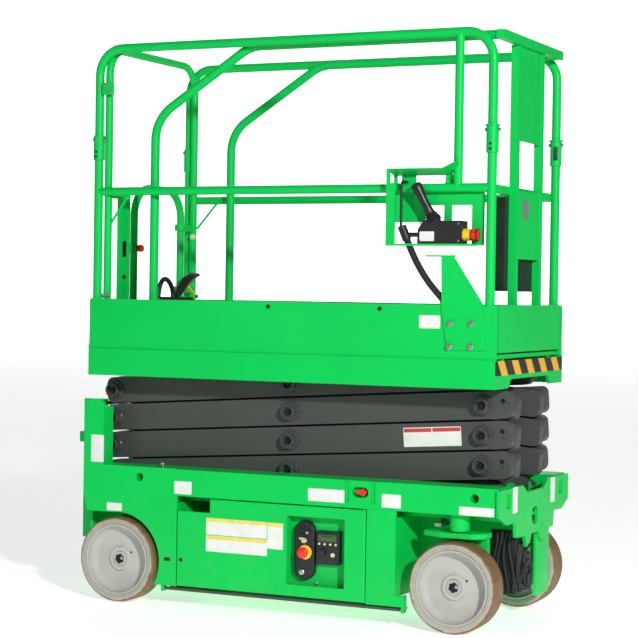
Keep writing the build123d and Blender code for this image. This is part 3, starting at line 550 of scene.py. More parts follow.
def bolt(seat: Seat, size: float, head: float = 0.0, washer: float = 0.0) -> Shell:
    """Hexagon bolt head with a washer under it, both turned, the head with six flats.

    Args:
        seat: where the bolt sits.
        size: half the head's width over its corners.
        head: the head's height, or 0 for two thirds of its size.
        washer: the washer's radius, or 0 for 1.35 times the head's size.

    Returns:
        The bolt head on its washer.
    """
    head, washer, thick = head or size * 0.66, washer or size * 1.35, size * 0.16
    disc = stud(seat, washer, thick * 0.7, washer * 0.94, thick, 18)
    flats = [(size, thick), (size, thick + head * 0.78), (size * 0.84, thick + head)]
    return joined([disc, lathe(seat, flats, 24, sides=6)])


def weld(start: Point, end: Point, size: float = 0.0035, pitch: float = 0.005) -> Shell:
    """Weld bead: a thin tube whose radius ripples with the distance along it.

    The radius is size * (0.85 + 0.15 |sin(pi s / pitch)|), closed to nothing at its ends.
    """
    run = np.linalg.norm(np.subtract(end, start))
    share = np.linspace(0, 1, max(int(run / pitch * 3), 8))
    path = np.array(start) + share[:, None] * np.subtract(end, start)
    ripple = size * (0.85 + 0.15 * np.abs(np.sin(pi * share * run / pitch)))
    return tube(path, ripple * np.sqrt(np.clip(np.sin(pi * share) * 12, 0.05, 1)), 8)


def weld_ring(seat: Seat, radius: float, size: float = 0.0035, ripples: int = 26) -> Shell:
    """Weld bead round a tube's foot: a ring whose section's radius ripples with the angle."""
    turn = np.linspace(0, 2 * pi, ripples * 3, endpoint=False)[:, None]
    section = np.linspace(0, 2 * pi, 8, endpoint=False)
    bead = size * (0.82 + 0.18 * np.cos(ripples * turn))
    reach = radius + bead * np.cos(section)
    return skin(seat.at(reach * np.cos(turn), reach * np.sin(turn), bead * np.sin(section)), ring=True)


def piece(name: str, shells: Sequence[Shell], body: str, kind: object) -> bpy.types.Object:
    """Make one object of closed surfaces, finish it and let it ride on a body.

    Args:
        name: the object's name.
        shells: its surfaces, already in place.
        body: the body that it moves with.
        kind: its finish.

    Returns:
        The new object.
    """
    whole = joined(shells)
    mesh = bpy.data.meshes.new(name)
    mesh.from_pydata(whole.points.tolist(), [], whole.quads.tolist() + whole.triangles.tolist())
    mesh.polygons.foreach_set("use_smooth", np.ones(len(mesh.polygons), bool))
    mesh.set_sharp_from_angle(angle=SHARP_ANGLE)
    mesh.materials.append(WORKSHOP.finish(kind))
    made = bpy.data.objects.new(name, mesh)
    bpy.context.scene.collection.objects.link(made)
    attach(made, body)
    LOG.info("%s: %d faces on %s", name, len(mesh.polygons), body)
    return made


def refinish(names: Sequence[str], kind: object) -> None:
    """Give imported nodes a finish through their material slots."""
    for name in names:
        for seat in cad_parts[name].material_slots:
            seat.material = WORKSHOP.finish(kind)


# ------------------------------------------------------------------ wheels
@dataclass
class Wheel:
    """Solid tyre on a pressed disc, with the hub's cap and its lobed socket."""

    end: str
    side: str
    axle_x: float
    middle_y: float = 0.335
    radius: float = 0.1625
    width: float = 0.1
    seat_radius: float = 0.134
    shoulder: float = 0.011
    lobes: int = 6

    def __post_init__(self) -> None:
        """Work out the wheel's name, body and seat."""
        self.name = f"{self.end}_{self.side}"
        self.body = f"wheel_{self.name}"
        sign = SIDES[self.side]
        self.seat = sideways(self.axle_x, self.middle_y, self.radius, sign)

    def tyre(self) -> None:
        """Tyre: a ring section with rounded shoulders, a crowned tread and a moulded line."""
        half, round_off = self.width / 2, self.shoulder
        side = [
            (self.seat_radius, half - 0.004), (self.seat_radius + 0.003, half - 0.0008),
            (0.1395, half), (0.1428, half), (0.1434, half - 0.0012), (0.1442, half),
            (self.radius - round_off, half),
        ]
        side += arc((self.radius - round_off, half - round_off), round_off, 78, 12, 6)
        crown = [(self.radius - 0.0003, half * 0.55), (self.radius, 0)]
        half_ring = side + crown
        profile = half_ring + [(r, -h) for r, h in reversed(half_ring[:-1])]
        made = piece(f"tyre_{self.name}_rubber", [lathe(self.seat, profile, 96, ring=True)], self.body, TYRE)
        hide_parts(f"tyre_{self.name}")
        points = np.array([v.co for v in made.data.vertices])
        reach = np.hypot(points[:, 0] - self.axle_x, points[:, 2] - self.radius)
        tread = np.clip((reach - self.radius + round_off) / round_off * 1.5, 0, 1)
        worn = made.data.attributes.new("tread", "FLOAT", "POINT")
        worn.data.foreach_set("value", tread.astype(np.float32))

    def disc(self) -> None:
        """Disc: a bowl-shaped ring section from the lip down to the hub ring, open at the bore."""
        bowl, floor, fillet = 0.0995, 0.0085, 0.0277
        front = [(self.seat_radius, 0.046), (0.1335, 0.0505), (0.131, 0.0515), (0.1275, 0.0495)]
        front.append((0.1272, 0.037))
        front += arc((bowl, floor + fillet), fillet, -8, -88, 8)
        front += [(0.075, 0.0105), (0.052, 0.0125), (0.0465, 0.0135), (0.0455, 0.0195), (0.0435, 0.0215)]
        front += [(0.031, 0.0215), (0.0295, 0.0200), (0.0285, 0.0150), (0.0205, 0.0150)]
        back = [(0.0205, -0.03), (0.046, -0.03), (0.048, -0.004), (0.098, -0.006), (0.126, -0.016)]
        back += [(0.127, -0.047), (self.seat_radius, -0.047)]
        made = piece(f"rim_{self.name}_disc", [lathe(self.seat, front + back, 96, ring=True)], self.body, RIM)
        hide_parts(f"rim_{self.name}")

    def hub(self) -> None:
        """Cap over the spindle with its lobed socket, a steel button painted as the hub's highlight, and a
        dark peg painted as the shade of a small hole in the disc.
        """
        face, lobe_reach, lobe_foot = self.seat.shifted(0, 0, 0.0200), 0.0115, 0.0026
        rim = [(0.0285, -0.002), (0.0285, 0.003), (0.0265, 0.0050), (0.0225, 0.0050), (0.0215, 0.0028)]
        piece(f"hub_{self.name}_cap", [lathe(face, rim, 40)], self.body, RIM)
        turn = np.radians(np.arange(self.lobes) * 360 / self.lobes + 20)
        star = [peg(face.shifted(lobe_reach * cos(t), lobe_reach * sin(t), lobe_foot), 0.0072, 0.003)
                for t in turn]
        star.append(peg(face.shifted(0, 0, lobe_foot), 0.0120, 0.0034, 24))
        # Dark peg painted as the shade inside a small hole in the disc.
        star.append(peg(self.seat.shifted(0.045, 0.026, 0.0125), 0.0042, 0.0012, 16))
        piece(f"hub_{self.name}_socket", star, self.body, DARK_STEEL)
        # Bright steel button set off the centre as a painted highlight on the hub.
        tip = stud(face.shifted(0.012, 0.004, 0.0050), 0.0062, 0.005, 0.004, 0.0065, 18)
        piece(f"hub_{self.name}_tip", [tip], self.body, STEEL)

    def build(self) -> None:
        """Make the tyre, the disc and the hub."""
        self.tyre()
        self.disc()
        self.hub()


# ------------------------------------------------------------------ blank labels
@dataclass(frozen=True)
class Label:
    """Blank film on a face: its middle, size, way out, and coloured bands as shares of its height."""

    middle: Point
    width: float
    height: float
    out: Point = (0, -1, 0)
    across: Point = (1, 0, 0)
    bands: tuple[tuple[float, float], ...] = ()
    columns: int = 1
    corner: float = 0.003
    thick: float = 0.0007
    band_thick: float = 0.0003
    gap: float = 0.002

    @property
    def seat(self) -> Seat:
        """Return the place of the film's middle."""
        return Seat(self.middle, self.out, self.across)

    def ground(self) -> Shell:
        """Return the plain film."""
        return slab(self.seat, self.width, self.height, self.thick, self.corner)

    def strips(self) -> list[Shell]:
        """Return the bands over the film, each from its low share of the height to its high one."""
        cell, corner = self.width / self.columns, self.corner * 0.6
        made = []
        for low, high in self.bands:
            rise, tall = self.height * ((low + high) / 2 - 0.5), self.height * (high - low) - self.gap
            for column in range(self.columns):
                place = self.seat.shifted(-self.width / 2 + cell * (column + 0.5), rise, self.thick)
                made.append(slab(place, cell - 2 * self.gap, tall, self.band_thick, corner))
        return made


def post_labels(name: str, body: str, labels: Sequence[Label], band: object = YELLOW_FILM,
                film: object = WHITE_FILM) -> None:
    """Make the plain films of one body and the bands over them."""
    piece(f"{name}_film", [label.ground() for label in labels], body, film)
    strips = [strip for label in labels for strip in label.strips()]
    if strips:
        piece(f"{name}_bands", strips, body, band)


# ------------------------------------------------------------------ chassis
@dataclass
class Chassis:
    """Fittings of the chassis: labels, plug, painted slot shades, steering gear and welds."""

    face_y: float = 0.370
    beam: tuple[float, float] = (0.420, 0.520)
    front_x: float = 0.915
    slot_shades: tuple[Point, ...] = ((-0.417, 0.178, 0.026), (-0.357, 0.180, 0.015))
    valves: tuple[tuple[float, ...], ...] = (
        (-0.046, 0.052, 0.040, 0.060, 0.016), (0.030, 0.020, 0.046, 0.044, 0.020),
        (-0.030, -0.048, 0.056, 0.050, 0.014), (0.046, -0.056, 0.030, 0.048, 0.018),
    )
    hoses: tuple[tuple, ...] = (
        (0.898, (-0.125, 0.300), (-0.190, 0.150), (-0.050, 0.135)),
        (0.893, (-0.100, 0.300), (-0.020, 0.120), (0.002, 0.260)),
        (0.901, (-0.070, 0.130), (-0.110, 0.300), (-0.015, 0.285)),
        (0.896, (-0.020, 0.126), (0.050, 0.230), (-0.085, 0.270)),
        (0.902, (-0.128, 0.160), (-0.060, 0.290), (0.004, 0.190)),
        (0.891, (-0.045, 0.300), (-0.150, 0.210), (-0.090, 0.126)),
    )
    hose_radius: float = 0.0082
    pipes_x: tuple[float, ...] = (0.812, 0.833, 0.856, 0.877)
    pipe_radius: float = 0.0068
    unions: tuple[tuple[float, float], ...] = (
        (-0.125, 0.292), (-0.050, 0.142), (0.002, 0.252), (-0.015, 0.277), (-0.128, 0.168), (-0.045, 0.292),
    )

    def labels(self) -> None:
        """Blank plates along the side beam and by the lashing slots."""
        y = -self.face_y
        made = [
            Label((0.243, y, 0.459), 0.145, 0.046),
            Label((-0.352, y, 0.452), 0.074, 0.048),
            Label((-0.652, y, 0.362), 0.066, 0.030),
            Label((-0.731, y, 0.582), 0.056, 0.104),
            Label((0.500, y, 0.454), 0.074, 0.048),
            Label((0.824, y, 0.437), 0.130, 0.030),
        ]
        made += [Label((self.front_x, side, 0.470), 0.050, 0.092, (1, 0, 0), (0, 1, 0))
                 for side in (-0.226, 0.196)]
        post_labels("chassis_labels", "chassis", made)

    def fasteners(self) -> None:
        """Small plug on the right beam and two black patches painted as the shade inside slots behind the
        tray.
        """
        knob = [(0.006, 0), (0.006, 0.012), (0.011, 0.013), (0.011, 0.019), (0.008, 0.022)]
        plug = lathe(upward(-0.457, -self.face_y + 0.030, self.beam[1]), knob, 20)
        piece("chassis_plug", [plug], "chassis", ZINC)
        # Black film patches painted as the shade inside two slots in the beam's face.
        slots = [slab(Seat((x, -self.face_y, z)), width, 0.013, 0.0012, 0.002, 0.0005)
                 for x, z, width in self.slot_shades]
        piece("chassis_catches", slots, "chassis", BLACK)

    def steering_gear(self) -> None:
        """Valve blocks on the axle carrier's front and right faces, hoses, pipes and the front leg."""
        face, side = ahead(0.873, -0.064, 0.214), Seat((0.846, -0.140, 0.236))
        blocks = [slab(face, 0.150, 0.188, 0.010, 0.006, 0.002)]
        blocks.append(slab(side, 0.100, 0.230, 0.006, 0.006, 0.002))
        blocks += [slab(face.shifted(y, z, 0.010), width, height, depth, 0.003, 0.0015)
                   for y, z, width, height, depth in self.valves]
        piece("steering_valves", blocks, "chassis", BLACK)
        lines = [tube(bezier(*((x, *place) for place in bends)), self.hose_radius, 12)
                 for x, *bends in self.hoses]
        share = np.linspace(0, 1, 48)[:, None]
        for x in self.pipes_x:
            wave = x + 0.010 * np.sin(share * 5 + 40 * x)
            path = np.concatenate([wave, -0.148 + 0 * share, 0.345 - 0.215 * share], axis=1)
            lines.append(tube(path, self.pipe_radius, 12))
        piece("steering_hoses", lines, "chassis", BOOT)
        # Known fault: this seat's across runs along its out, so the unions' points are not numbers.
        unions = [stud(Seat((0.884, y, z), (1, 0, 0)), 0.0105, 0.014, 0.008, 0.017, 6)
                  for y, z in self.unions]
        piece("steering_unions", unions, "chassis", DARK_STEEL)
        piece("steering_bolt", [bolt(ahead(0.883, 0.002, 0.250), 0.008)], "chassis", ZINC)
        leg = slab(ahead(0.893, 0.124, 0.245), 0.150, 0.310, 0.010, 0.012, 0.002)
        piece("front_leg", [leg], "chassis", GREEN)

    def welds(self) -> None:
        """Beads where the fixed panels, the uprights and the front plate meet the beams."""
        beads = []
        for sign in (-1, 1):
            y = sign * (self.face_y - 0.001)
            beads.append(weld((0.408, y, self.beam[0]), (0.516, y, self.beam[0]), 0.0028))
            beads.append(weld((-0.703, y, self.beam[1]), (-0.381, y, self.beam[1]), 0.0026))
            beads.append(weld((0.902, sign * 0.366, 0.424), (0.902, sign * 0.366, 0.514), 0.0028))
        piece("chassis_welds", beads, "chassis", GREEN)

    def build(self) -> None:
        """Make every chassis fitting."""
        self.labels()
        self.fasteners()
        self.steering_gear()
        self.welds()


# ------------------------------------------------------------------ ground controls
@dataclass
class GroundControls:
    """Key panel and display in the tray's recess, and the tray's labels."""

    floor_y: float = -0.324
    door_y: float = -0.370
    depth: float = 0.022
    face: float = 0.0012
    key: tuple[float, float] = (0.145, 0.2495)
    screen: tuple[float, float] = (0.241, 0.2645)
    body: str = "control_tray"

    def key_panel(self) -> None:
        """Pill-shaped panel with its studs, key switch, lever and the stop button on its collar."""
        base = Seat((self.key[0], self.floor_y, self.key[1]))
        pill = slab(base, 0.083, 0.217, self.depth, 0.0412, 0.004, 10)
        seat = base.shifted(0, 0, self.depth)
        places = ((-0.016, 0.078), (0.002, 0.085), (0.018, 0.074), (-0.008, 0.060), (0.012, 0.056))
        studs = [stud(seat.shifted(x, y), 0.0045, 0.006, 0.003, 0.008) for x, y in places]
        made = piece("key_panel", [pill, *studs], self.body, BLACK)
        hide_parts("control_panel")
        switch = [(0.0125, 0), (0.0125, 0.003), (0.010, 0.006), (0.004, 0.0075)]
        steel = [lathe(seat.shifted(-0.008, -0.080), switch, 28)]
        steel.append(stud(seat.shifted(0.014, 0.066), 0.006, 0.006, 0.004, 0.008, 18))
        piece("key_switch_steel", steel, self.body, STEEL)
        lever = lathe(seat.shifted(0.003, 0.036), [(0.009, 0), (0.0075, 0.014), (0.0040, 0.020)], 20)
        wing = slab(seat.shifted(-0.004, 0.044, 0.006), 0.022, 0.007, 0.006, 0.002, 0.001)
        piece("key_panel_lever", [lever, wing], self.body, PALE_PLASTIC)
        stop = seat.shifted(0.006, -0.006)
        collar = [(0.0262, 0), (0.0262, 0.0035), (0.024, 0.005), (0.0185, 0.005)]
        piece("ground_stop_collar", [lathe(stop, collar, 40)], self.body, YELLOW)
        head = [(0.0130, 0.002), (0.0130, 0.019), (0.0195, 0.021), (0.0205, 0.026), (0.0195, 0.031)]
        head += [(0.015, 0.0345), (0.008, 0.0362)]
        piece("ground_stop_head", [lathe(stop, head, 40)], self.body, RED)

    def display(self) -> None:
        """Display block with its screen, a row of caps, the dial and the round button."""
        base = Seat((self.screen[0], self.floor_y, self.screen[1]))
        seat = base.shifted(0, 0, self.depth)
        dial = [(0.014, 0), (0.014, 0.008), (0.0125, 0.0105), (0.005, 0.0112)]
        block = [slab(base, 0.093, 0.122, self.depth, 0.004, 0.0015)]
        block.append(lathe(seat.shifted(-0.020, -0.016), dial, 32))
        block.append(slab(seat, 0.083, 0.112, self.face, 0.004, 0.0008))
        piece("display_block", block, self.body, BLACK)
        glass = slab(seat.shifted(-0.002, 0.036, self.face), 0.074, 0.026, 0.0012, 0.003, 0.0008)
        piece("display_screen", [glass], self.body, SCREEN)
        row = [stud(seat.shifted(-0.033 + 0.022 * i, 0.014), 0.0046, 0.0035, 0.003, 0.005, 20, self.face)
               for i in range(4)]
        row.append(stud(seat.shifted(0.022, -0.024), 0.0085, 0.005, 0.0065, 0.0075, 24, self.face))
        piece("display_caps", row, self.body, PALE_PLASTIC)

    def tray_face(self) -> None:
        """Blank plates on the tray's door and the recess's screws."""
        y = self.door_y
        plates = [
            Label((-0.123, y, 0.3150), 0.254, 0.062, bands=((0.76, 1.0),), columns=2, corner=0.002),
            Label((0.039, y, 0.2970), 0.064, 0.096, bands=((0.84, 1.0),), corner=0.002),
            Label((-0.122, y, 0.2510), 0.256, 0.060, bands=((0.74, 1.0),), columns=2, corner=0.002),
        ]
        post_labels("tray_labels", self.body, plates)
        heads = [bolt(Seat((x, self.floor_y, 0.128)), 0.005) for x in (0.078, 0.188)]
        piece("tray_screws", heads, self.body, ZINC)

    def build(self) -> None:
        """Make the ground controls."""
        self.key_panel()
        self.display()
        self.tray_face()


# ------------------------------------------------------------------ scissor stack
@dataclass
class Stack:
    """Pin ends, end bolts and the label of the scissor arms."""

    rear_x: float = -0.751
    front_x: float = 0.783
    base_z: float = 0.476
    rise: float = 0.108
    outer_y: float = 0.210
    end_bolt_x: float = 0.858
    label_x: float = 0.589
    head: float = 0.006
    stages: int = 4
    pins: list[tuple[str, float, float]] = field(default_factory=list)

    def __post_init__(self) -> None:
        """List each outer arm's headed pins by their body and place."""
        middle = (self.rear_x + self.front_x) / 2
        for stage in range(1, self.stages + 1):
            body, low = f"outer_arm_{stage}", self.base_z + (stage - 1) * self.rise
            self.pins.append((body, middle, low + self.rise / 2))
            if stage > 1:
                self.pins.append((body, self.rear_x, low))
            if stage < self.stages:
                self.pins.append((body, self.front_x, low + self.rise))

    def pin_ends(self) -> None:
        """Flange and sunk bolt on each pin's head, and the bolt at each arm's front end."""
        rim = [(0.037, -0.004), (0.037, 0.003), (0.035, 0.005), (0.0285, 0.005), (0.0285, 0.0250)]
        rim += [(0.0265, 0.0275), (0.0205, 0.0275), (0.0190, 0.0255), (0.0185, 0.0120)]
        for stage in range(1, self.stages + 1):
            body = f"outer_arm_{stage}"
            caps, bolts = [], []
            for owner, x, z in self.pins:
                if owner != body:
                    continue
                for sign in (-1, 1):
                    seat = sideways(x, self.outer_y + self.head, z, sign)
                    caps.append(lathe(seat, rim, 36))
                    bolts.append(bolt(seat.shifted(0, 0, 0.0120), 0.0095, 0.007))
            if stage < self.stages:
                z = self.base_z + stage * self.rise + 0.018
                bolts += [bolt(sideways(self.end_bolt_x, self.outer_y, z, sign), 0.0062) for sign in (-1, 1)]
            piece(f"pin_caps_{stage}", caps, body, BOSS)
            piece(f"pin_bolts_{stage}", bolts, body, DARK_STEEL)

    def label(self) -> None:
        """Blank plate with a red band on the second outer arm."""
        stage = 2
        low = self.base_z + (stage - 1) * self.rise
        share = (self.label_x - self.rear_x) / (self.front_x - self.rear_x)
        lean = (self.front_x - self.rear_x, 0, self.rise)
        middle = (self.label_x, -self.outer_y, low + share * self.rise)
        plate = Label(middle, 0.225, 0.070, across=lean, bands=((0.74, 0.97),), columns=2)
        post_labels("arm_label", f"outer_arm_{stage}", [plate], RED_FILM)

    def build(self) -> None:
        """Make the stack's fittings."""
        self.pin_ends()
        self.label()


# ------------------------------------------------------------------ platform
@dataclass
class Platform:
    """Fittings of the platform: stripes, post feet, bolts, latch, pedal, ledge and plates."""

    front_x: float = 0.885
    rear_x: float = -0.775
    posts_x: tuple[float, float] = (-0.752, 0.854)
    rail_y: float = 0.353
    guard: tuple[float, float] = (-0.719, 0.335)
    toe_top: float = 1.158
    toe_face: float = 0.370
    rail_radius: float = 0.017
    bracket_bolts: tuple[tuple[float, float], ...] = (
        (0.716, 1.092), (0.796, 1.094), (0.714, 1.011), (0.794, 1.013),
    )
    latch_y: float = -0.232
    pedal_x: float = -0.655

    def stripes(self) -> None:
        """Striped film across the front member."""
        film = slab(ahead(self.front_x, 0.0, 0.938), 0.748, 0.051, 0.0006, 0.002)
        piece("front_stripes", [film], "platform", TAPE)

    def feet(self) -> None:
        """Weld beads round the rails' feet, and the bolts and screws of the rails and their bracket."""
        posts = [(x, sign * self.rail_y) for x in self.posts_x for sign in (-1, 1)]
        beads = [weld_ring(upward(x, y, self.toe_top), self.rail_radius + 0.001) for x, y in posts]
        piece("rail_feet_welds", beads, "platform", GREEN)
        heads = [bolt(sideways(self.guard[0] + x, self.guard[1] + 0.015, self.toe_top + 0.012, sign), 0.0062)
                 for x in (-0.010, 0.012) for sign in (-1, 1)]
        for x, y in posts:
            for way in (-1, 1):
                heads.append(bolt(Seat((x + way * 0.0215, y, 1.771), (way, 0, 0), (0, 1, 0)), 0.0066, 0.006))
        heads += [bolt(Seat((x, -0.382, z)), 0.0082) for x, z in self.bracket_bolts]
        piece("rail_bolts", heads, "platform", ZINC)
        dark = [bolt(Seat((x, -self.toe_face, 1.140)), 0.006) for x in (-0.004, 0.443)]
        dark += [peg(sideways(x, self.rail_y + 0.0215, z, sign), 0.005, 0.0015)
                 for x in self.posts_x for sign in (-1, 1) for z in (1.704, 1.722)]
        piece("rail_screws", dark, "platform", DARK_STEEL)

    def clamps(self) -> None:
        """Flange on each front sleeve, a black patch painted as the shade inside the latch window, hinge
        plate over the rear sleeve, guard struts.
        """
        rear_x, front_x = self.posts_x
        ring = [(0.0175, 0), (0.0255, 0.0005), (0.0262, 0.004), (0.0255, 0.0075), (0.0175, 0.008)]
        flanges = [lathe(upward(front_x, sign * self.rail_y, 1.783), ring, 32, ring=True) for sign in (-1, 1)]
        # Black patch painted as the shade inside the sleeve's latch window.
        window = slab(Seat((front_x + 0.006, self.rail_y - 0.0208, 1.738), (0.28, -0.96, 0)),
                      0.016, 0.052, 0.0022, 0.003, 0.0008)
        hinge = slab(Seat((rear_x + 0.046, -self.rail_y - 0.012, 1.963)), 0.052, 0.046, 0.008, 0.004, 0.001)
        struts = []
        for sign in (-1, 1):
            low, high = (-0.702, sign * 0.338, 1.452), (-0.615, sign * 0.352, 1.560)
            struts.append(tube(np.linspace(low, high, 8), 0.0048, 12))
        piece("sleeve_flanges", [*flanges, hinge, *struts], "platform", GREEN)
        piece("sleeve_windows", [window], "platform", BLACK)
        pins = [bolt(Seat((rear_x + x, -self.rail_y - 0.020, z)), 0.0062)
                for x, z in ((0.032, 1.976), (0.060, 1.950))]
        piece("hinge_bolts", pins, "platform", ZINC)

    def latch(self) -> None:
        """Black patch painted as the shade inside the keeper slot, the screw on the latch post, a pale cap on
        the guard and the gate's knob.
        """
        # Black patch painted as the shade inside the latch post's keeper slot.
        slot = [slab(Seat((-0.7065, self.latch_y, 1.3525)), 0.017, 0.062, 0.0014, 0.004, 0.0005)]
        slot.append(bolt(Seat((-0.706, self.latch_y, 1.244)), 0.006))
        piece("latch_slot", slot, "platform", BLACK)
        cap = stud(Seat((-0.7127, 0.3214, 1.418), (0.42, -0.91, 0)), 0.012, 0.006, 0.008, 0.009, 24, -0.002)
        piece("guard_cap", [cap], "platform", PALE_PLASTIC)
        knob = [(0.0126, -0.002), (0.0128, 0.004), (0.0148, 0.010), (0.0148, 0.018), (0.0120, 0.0225)]
        knob.append((0.006, 0.0240))
        piece("gate_knob", [lathe(ahead(-0.7005, -0.141, 1.358), knob, 32)], "gate", RED)

    def pedal(self) -> None:
        """Foot switch beside the gate: a base on two legs, an arched guard and a lifted pedal.

        Known fault: it stands inside the gate's sweep, so the gate passes through it part-way.
        """
        x = self.pedal_x
        arch = bezier((x, -0.055, 1.165), (x, -0.035, 1.310), (x, 0.085, 1.205), (x, 0.060, 1.160), steps=40)
        base = slab(upward(x, 0.070, 1.150), 0.030, 0.280, 0.018, 0.008, 0.003)
        legs = [slab(upward(x, y, 0.985), 0.022, 0.022, 0.166, 0.003) for y in (-0.03, 0.16)]
        bends = ((0.090, 1.166), (0.125, 1.200), (0.165, 1.232), (0.215, 1.252), (0.275, 1.260))
        lever = tube([(x, *bend) for bend in bends], np.array([0.010, 0.017, 0.019, 0.017, 0.006]), 16)
        piece("pedal_body", [tube(arch, 0.0095, 14), base, *legs, lever], "platform", BLACK)
        spring = tube([(x, 0.185, 1.215), (x, 0.205, 1.195), (x, 0.235, 1.180)], 0.006, 12)
        piece("pedal_spring", [spring], "platform", YELLOW)

    def plates(self) -> None:
        """Blank plates on the right toe board and on the extension's front, and the deck's ledge."""
        post_labels("platform_labels", "platform", [Label((0.636, -self.toe_face, 1.097), 0.080, 0.046)])
        plate = Label((0.8695, -0.035, 1.5065), 0.066, 0.068, (1, 0, 0), (0, 1, 0))
        post_labels("guard_label", "extension", [plate], film=GREY_FILM)
        length = self.front_x - self.rear_x
        middle = self.rear_x + length / 2
        ledge = [slab(Seat((middle, sign * self.toe_face, 0.965), (0, sign, 0), (-sign, 0, 0)),
                      length - 0.004, 0.006, 0.0022, 0.002, 0.0012) for sign in (-1, 1)]
        piece("deck_ledge", ledge, "platform", GREEN)

    def build(self) -> None:
        """Make the platform's fittings."""
        self.stripes()
        self.feet()
        self.clamps()
        self.latch()
        self.pedal()
        self.plates()


# ------------------------------------------------------------------ platform controls
@dataclass
class PlatformControls:
    """Control box's label, stop button, lever, screws, seam and corrugated cable."""

    body: str = "platform"
    box_x: tuple[float, float] = (0.595, 0.761)
    box_y: tuple[float, float] = (-0.400, -0.338)
    box_top: float = 1.453
    lean: Point = (-0.066, -0.018, 0.130)
    stick_foot: Point = (0.651, -0.374, 1.449)
    cable_radius: float = 0.0125
    cable_length: float = 0.247
    rib_depth: float = 0.10
    rib_pitch: float = 0.0062
    route: tuple[Point, ...] = (
        (0.552, -0.388, 1.386), (0.573, -0.386, 1.336), (0.598, -0.380, 1.287),
        (0.626, -0.371, 1.241), (0.653, -0.361, 1.206), (0.676, -0.352, 1.178),
    )

    def label(self) -> None:
        """Blank plate on the box's outer face."""
        post_labels("box_label", self.body, [Label((0.632, self.box_y[0], 1.398), 0.055, 0.034)])

    def stop(self) -> None:
        """Yellow collar and red head of the box's stop button."""
        seat = ahead(self.box_x[1], -0.369, 1.404)
        collar = [(0.0225, 0.0), (0.0225, 0.006), (0.0210, 0.0095), (0.0206, 0.0245), (0.0150, 0.0252)]
        piece("platform_stop_collar", [lathe(seat, collar, 40)], self.body, YELLOW)
        head = [(0.0135, 0.0240), (0.0215, 0.0292), (0.0225, 0.034), (0.0225, 0.046), (0.0208, 0.0515)]
        head += [(0.014, 0.0540), (0.005, 0.0545)]
        piece("platform_stop_head", [lathe(seat, head, 40)], self.body, RED)

    def lever(self) -> None:
        """Ribbed boot and the leaning grip, whose radius swells at the hand's heel and at the top."""
        share = np.linspace(0, 1, 41)
        radius = 0.0295 - 0.010 * share + 0.0022 * np.cos(share * 4 * 2 * pi)
        seat = Seat((0.649, -0.374, self.box_top), self.lean)
        piece("lever_boot", [lathe(seat, list(zip(radius, 0.030 * share)), 40)], self.body, BOOT)
        grip = [(0.0150, 0.030), (0.0172, 0.036), (0.0152, 0.060), (0.0150, 0.085), (0.0170, 0.112)]
        grip += [(0.0198, 0.130), (0.0198, 0.143), (0.0170, 0.1505), (0.0090, 0.1535)]
        stick = Seat(self.stick_foot, self.lean)
        thumb = slab(stick.shifted(0.0, 0.0165, 0.120), 0.012, 0.008, 0.024, 0.003, 0.001)
        piece("lever_grip", [lathe(stick, grip, 36), thumb], self.body, GLOSS_BLACK)

    def box_fittings(self) -> None:
        """Screws in the box's outer face, and the seam across it."""
        screws = [stud(Seat((x, self.box_y[0], z)), 0.0036, 0.0012, 0.002, 0.0018)
                  for x in (0.607, 0.751) for z in (1.382, 1.443)]
        piece("box_screws", screws, self.body, STEEL)
        seam = slab(Seat((0.684, self.box_y[0], 1.4375)), 0.132, 0.0022, 0.0010, 0.0006)
        piece("box_seam", [seam], self.body, BLACK)

    def cable(self) -> None:
        """Corrugated sleeve along the smooth line of the cable's route.

        At a distance s along it the radius is cable_radius (1 - rib_depth (1 - |cos(pi s / rib_pitch)|)).
        """
        curve = bpy.data.curves.new("cable_line", "CURVE")
        curve.dimensions, curve.resolution_u = "3D", 48
        spline = curve.splines.new("NURBS")
        spline.points.add(len(self.route) - 1)
        for point, place in zip(spline.points, self.route):
            point.co = (*place, 1)
        spline.order_u = 3
        spline.use_endpoint_u = True
        holder = bpy.data.objects.new("cable_line", curve)
        bpy.context.scene.collection.objects.link(holder)
        bpy.context.view_layer.update()
        line = bpy.data.meshes.new_from_object(holder.evaluated_get(bpy.context.evaluated_depsgraph_get()))
        path = np.array([v.co for v in line.vertices])
        bpy.data.objects.remove(holder)
        steps = np.linalg.norm(np.diff(path, axis=0), axis=1)
        reach = np.concatenate([[0], np.cumsum(steps)])
        even = np.linspace(0, reach[-1], 480)
        fine = np.stack([np.interp(even, reach, path[:, i]) for i in range(3)], -1)
        rib = 1 - self.rib_depth * (1 - np.abs(np.cos(pi * even / self.rib_pitch)))
        sleeve = tube(fine, self.cable_radius * rib, 20)
        made = piece("control_cable_sleeve", [sleeve], self.body, BOOT)
        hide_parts("control_cable")

    def build(self) -> None:
        """Make the platform's controls."""
        self.label()
        self.stop()
        self.lever()
        self.box_fittings()
        self.cable()


# ------------------------------------------------------------------ studio
class Shape(Enum):
    """Outline of a lamp."""

    SQUARE = "SQUARE"


@dataclass(frozen=True)
class Lamp:
    """Soft lamp: where it stands, what it faces, its size, its power and its tint."""

    name: str
    place: Point
    size: float
    power: float
    tint: Colour = (1, 1, 1)
    target: Point = LAMP_TARGET

    def build(self) -> None:
        """Add the lamp, turned to its target."""
        data = bpy.data.lights.new(self.name, "AREA")
        data.shape, data.size = Shape.SQUARE.value, self.size
        data.energy, data.color = self.power, self.tint
        lamp = bpy.data.objects.new(self.name, data)
        lamp.location = self.place
        lamp.rotation_euler = (Vector(self.place) - Vector(self.target)).to_track_quat("Z", "Y").to_euler()
        bpy.context.scene.collection.objects.link(lamp)


